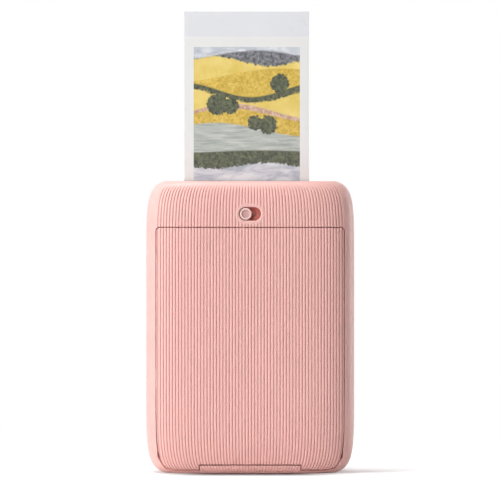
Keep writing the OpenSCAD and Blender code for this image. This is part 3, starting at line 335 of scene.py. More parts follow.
def picture():
    """A made-up printed landscape: rolling yellow fields, hedges, a lake and a pale sky."""
    s = Shader("printed_picture", rgb(200, 190, 140), 0.25, spec=0.45, coat=0.2)
    x, _, z = s.axes()
    grain = s.noise(900, 4.0, 0.65)
    soft = s.noise(120, 3.0)
    # u runs from -1 to 1 across the picture, v from 0 to 1 upwards
    u = s.math("MULTIPLY", s.math("SUBTRACT", x, PICTURE_X), 2 / PICTURE_W)
    v = s.math("MULTIPLY", s.math("SUBTRACT", z, PICTURE_Z), 1 / PICTURE_H)

    def ridge(height, swing, turns, shift, rough=0.02):
        wave = s.math("SINE", s.math("ADD", s.math("MULTIPLY", u, turns), shift))
        line = s.math("ADD", s.math("MULTIPLY", wave, swing), height)
        return s.math("ADD", line, s.math("MULTIPLY", s.math("SUBTRACT", grain, 0.5), rough))

    def above(colour, under, line, blur=0.006):
        gap = s.math("SUBTRACT", v, line)
        return s.mix(s.fit(gap, -blur, blur, smooth=True), under, colour)

    cloud = s.noise(95, 5.0, 0.62, s.stretch(1, 1, 2.6), 0.6)
    ground = s.mix(s.fit(cloud, 0.36, 0.64), rgb(176, 184, 196), rgb(234, 236, 240))
    field = s.mix(s.fit(soft, 0.3, 0.7), rgb(226, 196, 78), rgb(247, 222, 132))
    straw = s.mix(s.fit(grain, 0.35, 0.65), rgb(196, 158, 40), rgb(238, 206, 96))
    wood = s.mix(s.fit(grain, 0.38, 0.62), rgb(46, 52, 36), rgb(104, 110, 78))
    water = s.mix(s.fit(s.noise(160, 4.0, 0.6, s.stretch(0.5, 1, 5)), 0.35, 0.65),
                  rgb(158, 166, 160), rgb(206, 210, 204))
    path = s.mix(s.fit(grain, 0.4, 0.6), rgb(192, 148, 122), rgb(226, 196, 176))
    stone = s.mix(s.fit(grain, 0.35, 0.65), rgb(70, 72, 78), rgb(150, 150, 156))
    view = ground
    view = above(wood, view, ridge(0.17, 0.02, 3.1, 0.4, 0.05))
    view = above(water, view, ridge(0.27, 0.008, 2.0, 1.0, 0.01))
    view = above(straw, view, ridge(0.42, 0.05, 1.7, 2.6))
    view = above(path, view, ridge(0.52, 0.05, 1.9, 2.2))
    view = above(field, view, ridge(0.55, 0.055, 2.0, 2.1))
    view = above(wood, view, ridge(0.66, 0.05, 2.4, 4.4, 0.05))
    view = above(straw, view, ridge(0.70, 0.05, 2.5, 4.5))
    view = above(field, view, ridge(0.80, 0.05, 1.5, 0.6))
    view = above(stone, view, ridge(0.90, 0.035, 3.0, 3.4, 0.06))
    view = above(ground, view, ridge(0.945, 0.03, 2.2, 1.2, 0.03))
    # round trees on the fields
    for cx, cz, r in ((-0.55, 0.60, 0.075), (-0.30, 0.585, 0.055), (0.62, 0.745, 0.065),
                      (0.15, 0.47, 0.05), (0.40, 0.455, 0.065)):
        dx = s.math("MULTIPLY", s.math("SUBTRACT", u, cx), 0.74 / 2)
        dz = s.math("SUBTRACT", v, cz)
        d = s.math("SQRT", s.math("ADD", s.math("MULTIPLY", dx, dx), s.math("MULTIPLY", dz, dz)))
        d = s.math("ADD", d, s.math("MULTIPLY", s.math("SUBTRACT", grain, 0.5), 0.05))
        view = s.mix(s.fit(d, r + 0.004, r - 0.004, smooth=True), view, wood)
    s.base(view)
    s.gloss(200, 0.04)
    s.bump(s.noise(1500, 2.0), 0.000004)
    return s.mat


MATS["picture"] = picture()


def lens_glass():
    s = Shader("lens_rod", rgb(214, 228, 226), 0.08, transmission=0.85, ior=1.5)
    s.base(s.mottle(300, 0.03))
    s.gloss(800, 0.04)
    s.bump(s.math("SINE", s.math("MULTIPLY", s.axes()[0], 9000)), 0.00002)
    return s.mat


def flex_circuit():
    s = Shader("flex_circuit", rgb(196, 132, 52), 0.35, spec=0.5)
    lanes = s.math("SINE", s.math("MULTIPLY", s.axes()[0], 9500))
    s.base(s.mix(s.fit(lanes, 0.1, 0.4), s.mottle(200, 0.05), rgb(150, 92, 34)))
    s.gloss(300, 0.08)
    s.bump(lanes, 0.00001)
    return s.mat


def board():
    """Green solder mask over traces, with tinned pads."""
    s = Shader("solder_mask", rgb(24, 92, 52), 0.3, coat=0.2)
    brick = s.node("ShaderNodeTexBrick")
    turn = s.node("ShaderNodeMapping")
    s.link(s.coord, turn.inputs["Vector"])
    turn.inputs["Rotation"].default_value = (math.radians(90), 0, 0)
    s.link(turn.outputs["Vector"], brick.inputs["Vector"])
    brick.inputs["Scale"].default_value = 320
    brick.inputs["Mortar Size"].default_value = 0.03
    traces = brick.outputs["Fac"]
    pads = s.fit(s.cells(520, turn.outputs["Vector"]), 0.16, 0.12)
    base = s.mix(traces, s.mottle(120, 0.1), rgb(46, 128, 74))
    s.base(s.mix(pads, base, rgb(196, 188, 160)))
    s.gloss(260, 0.08)
    s.bump(s.math("ADD", traces, pads), 0.00003)
    return s.mat


def cell():
    """Battery pouch in dull silver foil with its crimped edge."""
    s = Shader("cell_foil", rgb(178, 180, 184), 0.35, metal=0.85)
    crease = s.noise(140, 4.0, 0.6, s.stretch(1, 1, 0.4))
    s.base(s.mottle(80, 0.08))
    s.gloss(300, 0.1)
    s.bump(crease, 0.0002)
    return s.mat


def diffuser():
    s = Shader("milky_ring", rgb(250, 246, 240), 0.35, transmission=0.15, ior=1.45)
    s.base(s.mottle(300, 0.02))
    s.gloss(600, 0.06)
    s.bump(s.noise(6000, 3.0), 0.000004)
    return s.mat


MATS["lens"] = lens_glass()
MATS["flex"] = flex_circuit()
MATS["board"] = board()
MATS["cell"] = cell()
MATS["diffuser"] = diffuser()

for part in frame["record"]["subparts"]:
    for slot in NODES[part["node"]].material_slots:
        slot.material = MATS[part["material_slot"]]
for slot in NODES["latch_slide"].material_slots:
    slot.material = MATS["slide"]


# The ribbed pillow
BODY_W, BODY_D, BODY_H = 90.0, 37.3, 126.0
N_FRONT, N_SIDE, N_PLAN = 10, 6, 4
FLAT = 0.985
HALF_W, HALF_D, HALF_H = BODY_W / 2, BODY_D / 2, BODY_H / 2 / FLAT
MID_Z = BODY_H / 2
RIBS, RIB_REACH, RIB_DEPTH = 59, 0.885, 0.3
# the groove's depth grows with this power of the distance from the crest
GROOVE_POWER = 3.4
HINGE_Y, HINGE_Z = -14.0, 8.0
# thickness of the outer skin round the smooth core
SKIN = 0.9
# gap round the door, and the low strip of the housing between its feet
DOOR_GAP = 0.25
STRIP_HALF, STRIP_TOP = 22, 3.8
# a distance well outside the body
OUTSIDE = 30


def pillow(v, n):
    return np.clip(1 - np.abs(v) ** n, 0, None) ** (1 / n)


def rib_columns():
    """Share of the half width at which each half rib pitch falls, equal along the curved plan."""
    s = np.linspace(0, 0.95, 20001)
    stretch = np.sqrt(1 + (HALF_D / HALF_W) ** 2 * s ** (2 * N_PLAN - 2)
                      / (1 - s ** N_PLAN) ** (2 - 2 / N_PLAN))
    run = np.concatenate([[0], np.cumsum((stretch[1:] + stretch[:-1]) / 2 * np.diff(s))])
    reach = np.interp(RIB_REACH, s, run)

    def place(j):
        return float(np.interp(j / RIBS * reach, run, s))

    return place


pitch = rib_columns()
# places across half a rib, 0 on the crest and 1 in the groove
RIB_STEPS = (0.0, 0.3, 0.52, 0.68, 0.8, 0.9, 0.97)
# columns over which the last groove runs out, in twentieths of the half width, and those beyond
RUN_OUT = (0.06, 0.12, 0.2, 0.3)
SIDE_COLUMNS = 44


def fine_columns():
    """Columns from side to side: (share of the half width, groove depth share)."""
    s, g = [0.0], [0.0]
    for j in range(1, RIBS + 1):
        if j % 2:
            steps = RIB_STEPS[1:] + (1.0,)
            places = [j - 1 + u for u in steps]
        else:
            steps = RIB_STEPS[::-1]
            places = [j - u for u in steps]
        s += [pitch(v) for v in places]
        g += [u ** GROOVE_POWER for u in steps]
    last = s[-1]
    for u in RUN_OUT:
        s.append(last + u * 0.05)
        g.append(max(1 - u / RUN_OUT[-1], 0) ** 2)
    for t in np.linspace(math.acos(s[-1]), 0, SIDE_COLUMNS)[1:]:
        s.append(math.cos(t))
        g.append(0.0)
    s, g = np.array(s), np.array(g)
    return np.concatenate([-s[:0:-1], s]), np.concatenate([g[:0:-1], g])


def heights(lists):
    """Rows of the grid from (low, high, number) stretches, without near doubles."""
    z = sorted({round(v, 4) for a, b, n in lists for v in np.linspace(a, b, n)})
    return np.array([v for i, v in enumerate(z) if i == 0 or v - z[i - 1] > 0.02])


FINE_Z = heights([(0, 1, 6), (1, 4.4, 20), (4.4, 12, 16), (12, 30, 12), (30, 96, 14),
                  (96, 104.4, 7), (104.4, 107.4, 31), (107.4, 117, 40), (117, 123, 16),
                  (123, 126, 14)])
PLAIN_Z = heights([(0, 4, 14), (4, 16, 14), (16, 110, 16), (110, 122, 14), (122, 126, 14)])


def polygon_distance(px, pz, loop):
    """Distance of points from the edge of a polygon, and whether they lie inside it."""
    best = np.full(px.shape, 1e9)
    inside = np.zeros(px.shape, bool)
    for (ax, az), (bx, bz) in zip(loop, loop[1:] + loop[:1]):
        dx, dz = bx - ax, bz - az
        t = np.clip(((px - ax) * dx + (pz - az) * dz) / max(dx * dx + dz * dz, 1e-12), 0, 1)
        best = np.minimum(best, np.hypot(px - ax - t * dx, pz - az - t * dz))
        if az != bz:
            cross = ((az > pz) != (bz > pz)) & (px < (bx - ax) * (pz - az) / (bz - az) + ax)
            inside ^= cross
    return best, inside


def half_width_at(z):
    return HALF_W * float(pillow(np.array((z - MID_Z) / HALF_H), N_FRONT))


# the door's seam inside the outline, its top edge and the radius of its upper corners
DOOR_IN, DOOR_TOP, DOOR_CORNER = 4.5, 106, 1.7


def door_outline():
    right = [(STRIP_HALF, STRIP_TOP), (STRIP_HALF, 1.5), (31.8, 1.5), (34.3, 1.75)]
    for z in (2.4, 3.4, 4.8, 6.6, 9, 13, 19, 30):
        right.append((half_width_at(z) - DOOR_IN - 0.25 / z, z))
    for a in range(0, 91, 9):
        a = math.radians(a)
        right.append((HALF_W - DOOR_IN - DOOR_CORNER * (1 - math.cos(a)),
                      DOOR_TOP - DOOR_CORNER * (1 - math.sin(a))))
    return right + [(-x, z) for x, z in reversed(right)]


def grown(loop, by):
    """The polygon with every edge moved outwards."""
    n = len(loop)
    area = sum(loop[i - 1][0] * loop[i][1] - loop[i][0] * loop[i - 1][1] for i in range(n))
    sign = 1 if area > 0 else -1
    out = []
    for i in range(n):
        p, q, r = Vector(loop[i - 1]), Vector(loop[i]), Vector(loop[(i + 1) % n])
        a, b = (q - p).normalized(), (r - q).normalized()
        na, nb = Vector((a.y, -a.x)) * sign, Vector((b.y, -b.x)) * sign
        k = by / max(1 + na.dot(nb), 0.2)
        out.append(tuple(q + (na + nb) * k))
    return out


DOOR = door_outline()
DOOR_SEAM = grown(DOOR, DOOR_GAP / 2)


def stadium(cx, cz, w, h, steps=40):
    loop = []
    for side, start in ((1, -90), (-1, 90)):
        for i in range(steps + 1):
            a = math.radians(start + 180 * i / steps)
            loop.append((cx + side * (w - h) / 2 + h / 2 * math.cos(a), cz + h / 2 * math.sin(a)))
    return loop


RECESS = stadium(RECESS_X, RECESS_Z, RECESS_W, RECESS_H)


def smooth(v, low, high):
    t = np.clip((v - low) / (high - low), 0, 1)
    return t * t * (3 - 2 * t)


# the ribs fade out over these heights under the top and above the foot
FADE_TOP, FADE_FOOT = (0.6, 4.4), (0.0, 1.2)
# share of the grooves' painted shade and depth that the low strip loses
STRIP_LOSS = 0.45
# plain margin round the recess over which the ribs come back
RECESS_MARGIN = (0.9, 1.9)
# rounded edges along the door's seam and the recess: depth, reach and power
SEAM_DROP, SEAM_REACH = 0.28, 0.5
RECESS_DROP, RECESS_REACH = 0.3, 0.55
EDGE_POWER = 1.5
# painted shade along the door's seam, above 1 where it is darker than a groove, and where it fades
SEAM_SHADE_LEVEL, SEAM_FADE = 1.4, (0.12, 0.36)


def pillow_grid(columns, z, inset, side, ribs=None):
    """Grid of points (rows by columns) on one broad side; ribs gives groove depth shares."""
    half_z = BODY_H / 2 - inset
    f = (z - MID_Z) / (half_z / FLAT)
    wide = (HALF_W - inset) * pillow(f, N_FRONT)
    deep = (HALF_D - inset) * pillow(f, N_SIDE)
    x = wide[:, None] * columns[None, :]
    y = deep[:, None] * pillow(columns, N_PLAN)[None, :]
    zz = np.repeat(z[:, None], len(columns), 1)
    depth_and_shade = np.zeros_like(x)
    if ribs is not None:
        # the groove depth share also sets the grooves' painted shade
        fade = smooth(BODY_H - z, *FADE_TOP) * smooth(z, *FADE_FOOT)
        depth_and_shade = fade[:, None] * ribs[None, :]
        if side < 0:
            strip = (np.abs(x) < STRIP_HALF - 0.1) * (1 - smooth(zz, STRIP_TOP - 0.3, STRIP_TOP))
            depth_and_shade = depth_and_shade * (1 - STRIP_LOSS * strip)
            far, inside = polygon_distance(x, zz, RECESS)
            depth_and_shade = depth_and_shade * np.where(inside, 0, smooth(far, *RECESS_MARGIN))
        y = y - RIB_DEPTH * depth_and_shade
        if side < 0:
            far, _ = polygon_distance(x, zz, DOOR_SEAM)
            y = y - SEAM_DROP * (1 - smooth(far, 0.0, SEAM_REACH)) ** EDGE_POWER
            # painted shade along the door's seam
            depth_and_shade = np.maximum(depth_and_shade, SEAM_SHADE_LEVEL * (1 - smooth(far, *SEAM_FADE)))
            far, _ = polygon_distance(x, zz, RECESS)
            y = y - RECESS_DROP * (1 - smooth(far, 0.0, RECESS_REACH)) ** EDGE_POWER
    return np.stack([x, side * y, zz], -1), depth_and_shade


def solid(name, verts, faces, depth_and_shade=None):
    mesh = bpy.data.meshes.new(name)
    mesh.from_pydata((np.asarray(verts) * MM).tolist(), [], faces)
    if depth_and_shade is not None:
        # share of groove depth and of painted shade, read by the shell's material
        layer = mesh.attributes.new("depth_and_shade", "FLOAT", "POINT")
        layer.data.foreach_set("value", np.asarray(depth_and_shade, dtype=np.float32))
    mesh.validate()
    ob = bpy.data.objects.new(name, mesh)
    bpy.context.scene.collection.objects.link(ob)
    bm = bmesh.new()
    bm.from_mesh(mesh)
    bmesh.ops.remove_doubles(bm, verts=bm.verts, dist=1e-8)
    bmesh.ops.recalc_face_normals(bm, faces=bm.faces)
    bm.to_mesh(mesh)
    bm.free()
    return ob


def half_body(name, side, columns, z, inset, ribs=None, back=0.0):
    """Closed solid between one broad side of the pillow and a plane at y = back."""
    def at(i, j, k=0):
        return k * m * n + i * n + j

    grid, depth_and_shade = pillow_grid(columns, z, inset, side, ribs)
    m, n = depth_and_shade.shape
    plane = grid.copy()
    plane[:, :, 1] = back
    verts = np.concatenate([grid.reshape(-1, 3), plane.reshape(-1, 3)])
    cav = np.concatenate([depth_and_shade.ravel(), np.zeros(m * n)])
    faces = []
    for i in range(m - 1):
        for j in range(n - 1):
            faces.append((at(i, j), at(i, j + 1), at(i + 1, j + 1), at(i + 1, j)))
            faces.append((at(i, j, 1), at(i + 1, j, 1), at(i + 1, j + 1, 1), at(i, j + 1, 1)))
        for j in (0, n - 1):
            faces.append((at(i, j), at(i + 1, j), at(i + 1, j, 1), at(i, j, 1)))
    for i in (0, m - 1):
        for j in range(n - 1):
            faces.append((at(i, j), at(i, j + 1), at(i, j + 1, 1), at(i, j, 1)))
    return solid(name, verts, faces, cav)


def prism(name, loop, low, high, axis="y"):
    """Solid from a polygon in X and Z drawn out along Y, or in Y and Z drawn out along X."""
    n = len(loop)
    if axis == "y":
        verts = [(a, low, b) for a, b in loop] + [(a, high, b) for a, b in loop]
    else:
        verts = [(low, a, b) for a, b in loop] + [(high, a, b) for a, b in loop]
    faces = [tuple(range(n)), tuple(range(2 * n - 1, n - 1, -1))]
    faces += [(i, (i + 1) % n, n + (i + 1) % n, n + i) for i in range(n)]
    return solid(name, verts, faces)


def circle(cx, cz, r, steps=64):
    return [(cx + r * math.cos(2 * math.pi * i / steps), cz + r * math.sin(2 * math.pi * i / steps))
            for i in range(steps)]


def box_solid(x, y, z):
    return prism("tool", [(x[0], z[0]), (x[1], z[0]), (x[1], z[1]), (x[0], z[1])], y[0], y[1])


def cut(ob, tool, kind="DIFFERENCE"):
    """Boolean with the tool used up."""
    mod = ob.modifiers.new("cut", "BOOLEAN")
    mod.operation = kind
    mod.solver = "MANIFOLD"
    mod.object = tool
    bpy.context.view_layer.update()
    mesh = bpy.data.meshes.new_from_object(ob.evaluated_get(bpy.context.evaluated_depsgraph_get()))
    ob.modifiers.clear()
    ob.data = mesh
    drop(tool)
    return ob


def drop(ob):
    mesh = ob.data
    bpy.data.objects.remove(ob)
    if not mesh.users:
        bpy.data.meshes.remove(mesh)


def copy_of(ob, name="copy"):
    new = bpy.data.objects.new(name, ob.data.copy())
    bpy.context.scene.collection.objects.link(new)
    return new


def soften(ob, angle=38):
    ob.data.shade_smooth()
    ob.data.set_sharp_from_angle(angle=math.radians(angle))


def joined(name, parts, materials):
    """One object from several; each part keeps one material, in order."""
    bm = bmesh.new()
    for k, ob in enumerate(parts):
        start = len(bm.faces)
        bm.from_mesh(ob.data)
        bm.faces.ensure_lookup_table()
        for f in bm.faces[start:]:
            f.material_index = k
    mesh = bpy.data.meshes.new(name)
    bm.to_mesh(mesh)
    bm.free()
    ob = bpy.data.objects.new(name, mesh)
    bpy.context.scene.collection.objects.link(ob)
    for k in range(len(parts)):
        mesh.materials.append(materials[k])
    for p in parts:
        drop(p)
    return ob


COLUMNS, RIB_SHARES = fine_columns()
PLAIN = np.concatenate([-np.cos(np.linspace(0, math.pi / 2, 40)),
                        np.cos(np.linspace(math.pi / 2, 0, 40))[1:]])


def inner_core():
    """The smooth pillow under the outer skin, both sides."""
    z = PLAIN_Z * (BODY_H - 2 * SKIN) / BODY_H + SKIN
    door_half = half_body("core", -1, PLAIN, z, SKIN, back=0.02)
    other_half = half_body("core_front", 1, PLAIN, z, SKIN, back=-0.02)
    return cut(door_half, other_half, "UNION")


def cad_inside(node):
    """What the CAD node holds under the outer skin."""
    ob = copy_of(NODES[node], node + "_inside")
    bm = bmesh.new()
    bm.from_mesh(ob.data)
    bmesh.ops.remove_doubles(bm, verts=bm.verts, dist=1e-7)
    bm.to_mesh(ob.data)
    bm.free()
    return cut(ob, copy_of(CORE), "INTERSECT")


# openings: exit frame as a box, screws, and round or upright holes by place and size
BEZEL = ((-33.1, 30.1), (-3.75, 5.45), (118, 130))
SCREW_X, SCREW_ROWS, SCREW_R = 36.9, (8.2, 118.4), 1.8
BUTTON_Z, BUTTON_R = 76, 7.4
SIDE_Y = 12.05
PORT_Z, PORT_W, PORT_H = 40, 3.9, 9.5
RESET_Z, RESET_R = 54, 0.9
BARREL_R = 4.78
# the door's lower lip is cut back behind this plane, between these half widths
LIP_HALF, LIP_Y = 33, -11.6
STRIP_BACK = -11.4
SWEEP_PLAY = 0.15
# half width and radius of the space that the door's feet sweep round the hinge
FOOT_SWEEP = ((35.0, 6.86), (35.8, 6.5), (36.4, 5.9), (36.68, 5.15), (37.4, 4.9), (38.1, 4.45),
              (38.78, 3.6), (39.1, 3.1), (39.7, 2.6), (40.08, 1.9))


def foot_space(play=0.0, steps=96):
    """Body turned about the hinge axis, smaller all round by the play."""
    right = [(x - play, r - play) for x, r in FOOT_SWEEP]
    profile = [(-x, r) for x, r in reversed(right)] + right
    verts, faces = [], []
    for x, r in profile:
        verts += [(x, y, z) for y, z in circle(HINGE_Y, HINGE_Z, r, steps)]
    for k in range(len(profile) - 1):
        for i in range(steps):
            j = (i + 1) % steps
            faces.append((k * steps + i, k * steps + j, (k + 1) * steps + j, (k + 1) * steps + i))
    faces += [tuple(range(steps)), tuple(range(len(verts) - 1, len(verts) - steps - 1, -1))]
    return solid("foot_space", verts, faces)


def beyond_feet(play, inner=0.0):
    """What lies behind and below the hinge axis, outside the space of the feet."""
    behind = box_solid((-HALF_W - 1, HALF_W + 1), (HINGE_Y, 0), (-1, HINGE_Z))
    if inner:
        cut(behind, box_solid((-inner, inner), (-OUTSIDE, 10), (-10, 20)))
    return cut(behind, foot_space(play))


def door_sweeps():
    """Space that the door's lower edge sweeps inside the housing."""
    strip = STRIP_HALF - DOOR_GAP
    return cut(foot_space(), box_solid((-strip, strip), (-OUTSIDE, STRIP_BACK), (-4, STRIP_TOP)))


def upright_stadium(cy, cz, wide, tall, steps=24):
    loop = []
    for side, start in ((1, 0), (-1, 180)):
        for i in range(steps + 1):
            a = math.radians(start + 180 * i / steps)
            loop.append((cy + wide / 2 * math.cos(a),
                         cz + side * (tall - wide) / 2 + wide / 2 * math.sin(a)))
    return loop


def build_shells():
    """Outer skins of the door cover and of both housing halves."""
    below_hinge = ((HINGE_Y, 0), (-1, HINGE_Z))
    door_side = half_body("door_side", -1, COLUMNS, FINE_Z, 0, RIB_SHARES)
    cut(door_side, copy_of(CORE))
    cover = copy_of(door_side, "cover_skin")
    cut(cover, prism("tool", DOOR, -OUTSIDE, -6), "INTERSECT")
    cut(cover, box_solid((-STRIP_HALF - 0.02, STRIP_HALF + 0.02), *below_hinge))
    cut(cover, box_solid((-LIP_HALF, LIP_HALF), (LIP_Y, 0), (-1, HINGE_Z)))
    cut(cover, beyond_feet(SWEEP_PLAY))
    rear = door_side
    opening = prism("tool", grown(DOOR, DOOR_GAP), -OUTSIDE, -9.5)
    cut(rear, cut(opening, beyond_feet(0, inner=30)))
    cut(rear, door_sweeps())
    cut(rear, prism("tool", circle(HINGE_Y, HINGE_Z, BARREL_R), -STRIP_HALF, STRIP_HALF, "x"))
    cut(rear, prism("tool", RECESS, -OUTSIDE, -10))
    cut(rear, box_solid(*BEZEL))
    front = half_body("front_side", 1, COLUMNS, FINE_Z, 0, RIB_SHARES)
    cut(front, copy_of(CORE))
    cut(front, prism("tool", circle(0, BUTTON_Z, BUTTON_R, 96), 10, OUTSIDE))
    cut(front, box_solid(*BEZEL))
    port = upright_stadium(SIDE_Y, PORT_Z, PORT_W, PORT_H)
    for hole in (port, circle(SIDE_Y, RESET_Z, RESET_R, 40)):
        cut(front, prism("tool", hole, -50, -40, "x"))
    for x in (-SCREW_X, SCREW_X):
        for z in SCREW_ROWS:
            cut(front, prism("tool", circle(x, z, SCREW_R, 48), 10, OUTSIDE))
    return cover, rear, front


CORE = inner_core()
cover_skin, rear_skin, front_skin = build_shells()
for skin, node, name in ((cover_skin, "film_door_cover", "ribbed_door_cover"),
                         (rear_skin, "rear_housing", "ribbed_rear_shell"),
                         (front_skin, "front_housing", "ribbed_front_shell")):
    inside = cad_inside(node)
    if node == "film_door_cover":
        cut(inside, beyond_feet(SWEEP_PLAY))
    whole = joined(name, [skin, inside], [MATS["shell"], MATS["shell_inside"]])
    soften(whole)
    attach(whole, NODES[node]["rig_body"])
    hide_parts(node)
drop(CORE)


# The latch's knob
def lathe(name, profile, centre, steps=72):
    """Turned solid about an axis along Y through centre (x, z); profile is radius and y."""
    cx, cz = centre
    verts, faces, rows = [], [], []
    for r, y in profile:
        if r == 0:
            rows.append([len(verts)] * steps)
            verts.append((cx, y, cz))
        else:
            rows.append(list(range(len(verts), len(verts) + steps)))
            verts += [(x, y, z) for x, z in circle(cx, cz, r, steps)]
    for a, b in zip(rows, rows[1:]):
        for i in range(steps):
            j = (i + 1) % steps
            ring = [a[i], a[j], b[j], b[i]]
            faces.append(tuple(v for k, v in enumerate(ring) if v not in ring[:k]))
    return solid(name, verts, faces)


def arc(cr, cy, r, start, end, steps):
    """Points of an arc in radius and y; 0 degrees is outwards, 90 towards the door side."""
    return [(cr + r * math.cos(math.radians(a)), cy - r * math.sin(math.radians(a)))
            for a in np.linspace(start, end, steps)]


KNOB_R, KNOB_FACE, KNOB_BACK = 2.55, -17.9, -16.7
STEM_R, STEM_END = 0.9, -14.3
DISH_R, DISH_DEPTH = 1.7, 0.42


def build_knob():
    """Cap with a rolled rim round a shallow dish, and its stem."""
    floor_y = KNOB_FACE + DISH_DEPTH
    dish = [(0, floor_y), (0.6, floor_y - 0.01), (1.2, floor_y - 0.05),
            (DISH_R - 0.15, floor_y - 0.12)]
    rim = arc(DISH_R + 0.22, KNOB_FACE + 0.22, 0.22, 170, 90, 7)
    edge = arc(KNOB_R - 0.3, KNOB_FACE + 0.3, 0.3, 90, 0, 9)
    back = [(KNOB_R, KNOB_BACK - 0.1), (KNOB_R - 0.1, KNOB_BACK), (STEM_R, KNOB_BACK),
            (STEM_R, STEM_END), (0, STEM_END)]
    knob = lathe("dished_latch_knob", dish + rim + edge + back, (KNOB_X, RECESS_Z))
    knob.data.materials.append(MATS["trim"])
    soften(knob, 50)
    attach(knob, NODES["latch_knob"]["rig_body"])
    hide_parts("latch_knob")


build_knob()


# Camera, light and floor
def look_at(ob, place, target):
    ob.location = Vector(place)
    ob.rotation_euler = (Vector(target) - Vector(place)).to_track_quat("-Z", "Y").to_euler()


TILT = math.radians(0.7)
DISTANCE = 2.7
AIM = (-0.0001, 0, 0.09615)
camera = bpy.data.objects.new("camera", bpy.data.cameras.new("camera"))
bpy.context.scene.collection.objects.link(camera)
camera.data.lens = 448.7
camera.data.sensor_width = 36
camera.data.clip_end = 10
look_at(camera, (AIM[0], -DISTANCE * math.cos(TILT), AIM[2] + DISTANCE * math.sin(TILT)), AIM)
bpy.context.scene.camera = camera
bpy.context.scene.view_settings.view_transform = "Standard"


def area_light(name, place, target, size, power):
    lamp = bpy.data.lights.new(name, "AREA")
    lamp.shape = "RECTANGLE"
    lamp.size, lamp.size_y = size
    lamp.energy = power
    ob = bpy.data.objects.new(name, lamp)
    bpy.context.scene.collection.objects.link(ob)
    look_at(ob, place, target)


area_light("key", (-1.03, -0.87, 0.45), (0, 0, 0.07), (0.5, 0.7), 10.9)
area_light("rim", (0.8, 0.45, 0.25), (0, 0, 0.07), (0.3, 0.6), 2.8)
area_light("top", (-0.2, -0.05, 0.95), (0, 0, 0.06), (0.5, 0.4), 6.2)
area_light("low", (-0.1, -1.2, 0.06), (0, 0, 0.03), (0.8, 0.1), 1.1)


def seen_ray(tree):
    """1 for what the camera, mirrors and glass see, 0 for the light that falls on things."""
    path = tree.nodes.new("ShaderNodeLightPath")
    seen = tree.nodes.new("ShaderNodeMath")
    seen.operation = "MAXIMUM"
    both = tree.nodes.new("ShaderNodeMath")
    both.operation = "MAXIMUM"
    tree.links.new(path.outputs["Is Camera Ray"], seen.inputs[0])
    tree.links.new(path.outputs["Is Glossy Ray"], seen.inputs[1])
    tree.links.new(seen.outputs[0], both.inputs[0])
    tree.links.new(path.outputs["Is Transmission Ray"], both.inputs[1])
    return both.outputs[0]


# light of the room on its left and right, and the directions between which it changes
ROOM_LIGHT = (0.36, 0.0)
ROOM_SIDES = (-0.9, 0.25)


def build_room():
    """Room brighter on the left and dark on the right; the camera sees it plain white."""
    world = bpy.data.worlds.new("studio")
    bpy.context.scene.world = world
    world.use_nodes = True
    tree = world.node_tree
    light = tree.nodes["Background"]
    light.inputs["Color"].default_value = (1, 1, 1, 1)
    ways = tree.nodes.new("ShaderNodeTexCoord")
    parts = tree.nodes.new("ShaderNodeSeparateXYZ")
    tree.links.new(ways.outputs["Generated"], parts.inputs[0])
    side = tree.nodes.new("ShaderNodeMapRange")
    side.inputs["From Min"].default_value = ROOM_SIDES[0]
    side.inputs["From Max"].default_value = ROOM_SIDES[1]
    side.inputs["To Min"].default_value = ROOM_LIGHT[0]
    side.inputs["To Max"].default_value = ROOM_LIGHT[1]
    tree.links.new(parts.outputs["X"], side.inputs["Value"])
    tree.links.new(side.outputs["Result"], light.inputs["Strength"])
    white = tree.nodes.new("ShaderNodeBackground")
    white.inputs["Color"].default_value = (1, 1, 1, 1)
    white.inputs["Strength"].default_value = 1.0
    blend = tree.nodes.new("ShaderNodeMixShader")
    tree.links.new(seen_ray(tree), blend.inputs["Fac"])
    tree.links.new(light.outputs[0], blend.inputs[1])
    tree.links.new(white.outputs[0], blend.inputs[2])
    tree.links.new(blend.outputs[0], tree.nodes["World Output"].inputs["Surface"])


build_room()

FLOOR_HALF = 2.5
# glow of the floor as the camera sees it, so that it comes out nearly white
FLOOR_LIFT = 0.42
# distance from the middle over which the floor turns plain white, in metres
PLAIN_FROM = (0.12, 0.5)
# distances from the middle between which the contact shadow fades, in metres
SHADOW_X = (0.015, 0.05)
SHADOW_Y = (0.017, 0.05)
FLOOR_TONE, SHADOW_TONE = (0.88, 0.88, 0.88, 1), (0.14, 0.135, 0.135, 1)


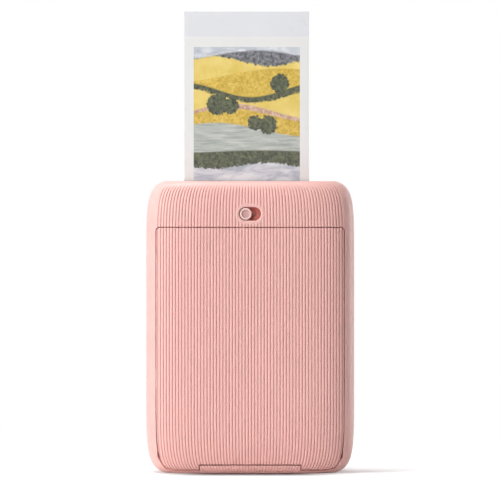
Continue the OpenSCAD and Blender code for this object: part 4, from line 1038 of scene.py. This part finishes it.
def make_floor():
    """Pale floor that keeps the shadow near the object and is plain white further out."""
    corners = ((-FLOOR_HALF, -FLOOR_HALF), (FLOOR_HALF, -FLOOR_HALF),
               (FLOOR_HALF, FLOOR_HALF), (-FLOOR_HALF, FLOOR_HALF))
    mesh = bpy.data.meshes.new("floor")
    mesh.from_pydata([(x, y, 0) for x, y in corners], [], [(0, 1, 2, 3)])
    ob = bpy.data.objects.new("floor", mesh)
    bpy.context.scene.collection.objects.link(ob)
    ob.location.z = -0.00002
    s = Shader("floor", FLOOR_TONE, 0.9, spec=0.0)
    x, y, _ = s.axes()
    seen = seen_ray(s.tree)
    far = s.math("SQRT", s.math("ADD", s.math("MULTIPLY", x, x), s.math("MULTIPLY", y, y)))
    near = s.fit(far, PLAIN_FROM[1], PLAIN_FROM[0], smooth=True)
    lift = s.node("ShaderNodeEmission")
    lift.inputs["Color"].default_value = (1, 1, 1, 1)
    # the contact shadow is deepened right under the body and a little in front of it
    wide = s.fit(s.math("ABSOLUTE", x), SHADOW_X[1], SHADOW_X[0], smooth=True)
    deep = s.fit(s.math("ABSOLUTE", y), SHADOW_Y[1], SHADOW_Y[0], smooth=True)
    core = s.math("MULTIPLY", wide, deep)
    s.base(s.mix(s.math("MULTIPLY", core, seen), FLOOR_TONE, SHADOW_TONE))
    clear = s.math("SUBTRACT", 1.0, core)
    s.link(s.math("MULTIPLY", s.math("MULTIPLY", seen, clear), FLOOR_LIFT), lift.inputs["Strength"])
    lit = s.node("ShaderNodeAddShader")
    s.link(s.bsdf.outputs[0], lit.inputs[0])
    s.link(lift.outputs[0], lit.inputs[1])
    plain = s.node("ShaderNodeEmission")
    plain.inputs["Color"].default_value = (1, 1, 1, 1)
    plain.inputs["Strength"].default_value = 1.0
    blend = s.node("ShaderNodeMixShader")
    s.link(s.math("MULTIPLY", seen, s.math("SUBTRACT", 1.0, near)), blend.inputs["Fac"])
    s.link(lit.outputs[0], blend.inputs[1])
    s.link(plain.outputs[0], blend.inputs[2])
    s.link(blend.outputs[0], s.out.inputs["Surface"])
    mesh.materials.append(s.mat)


make_floor()
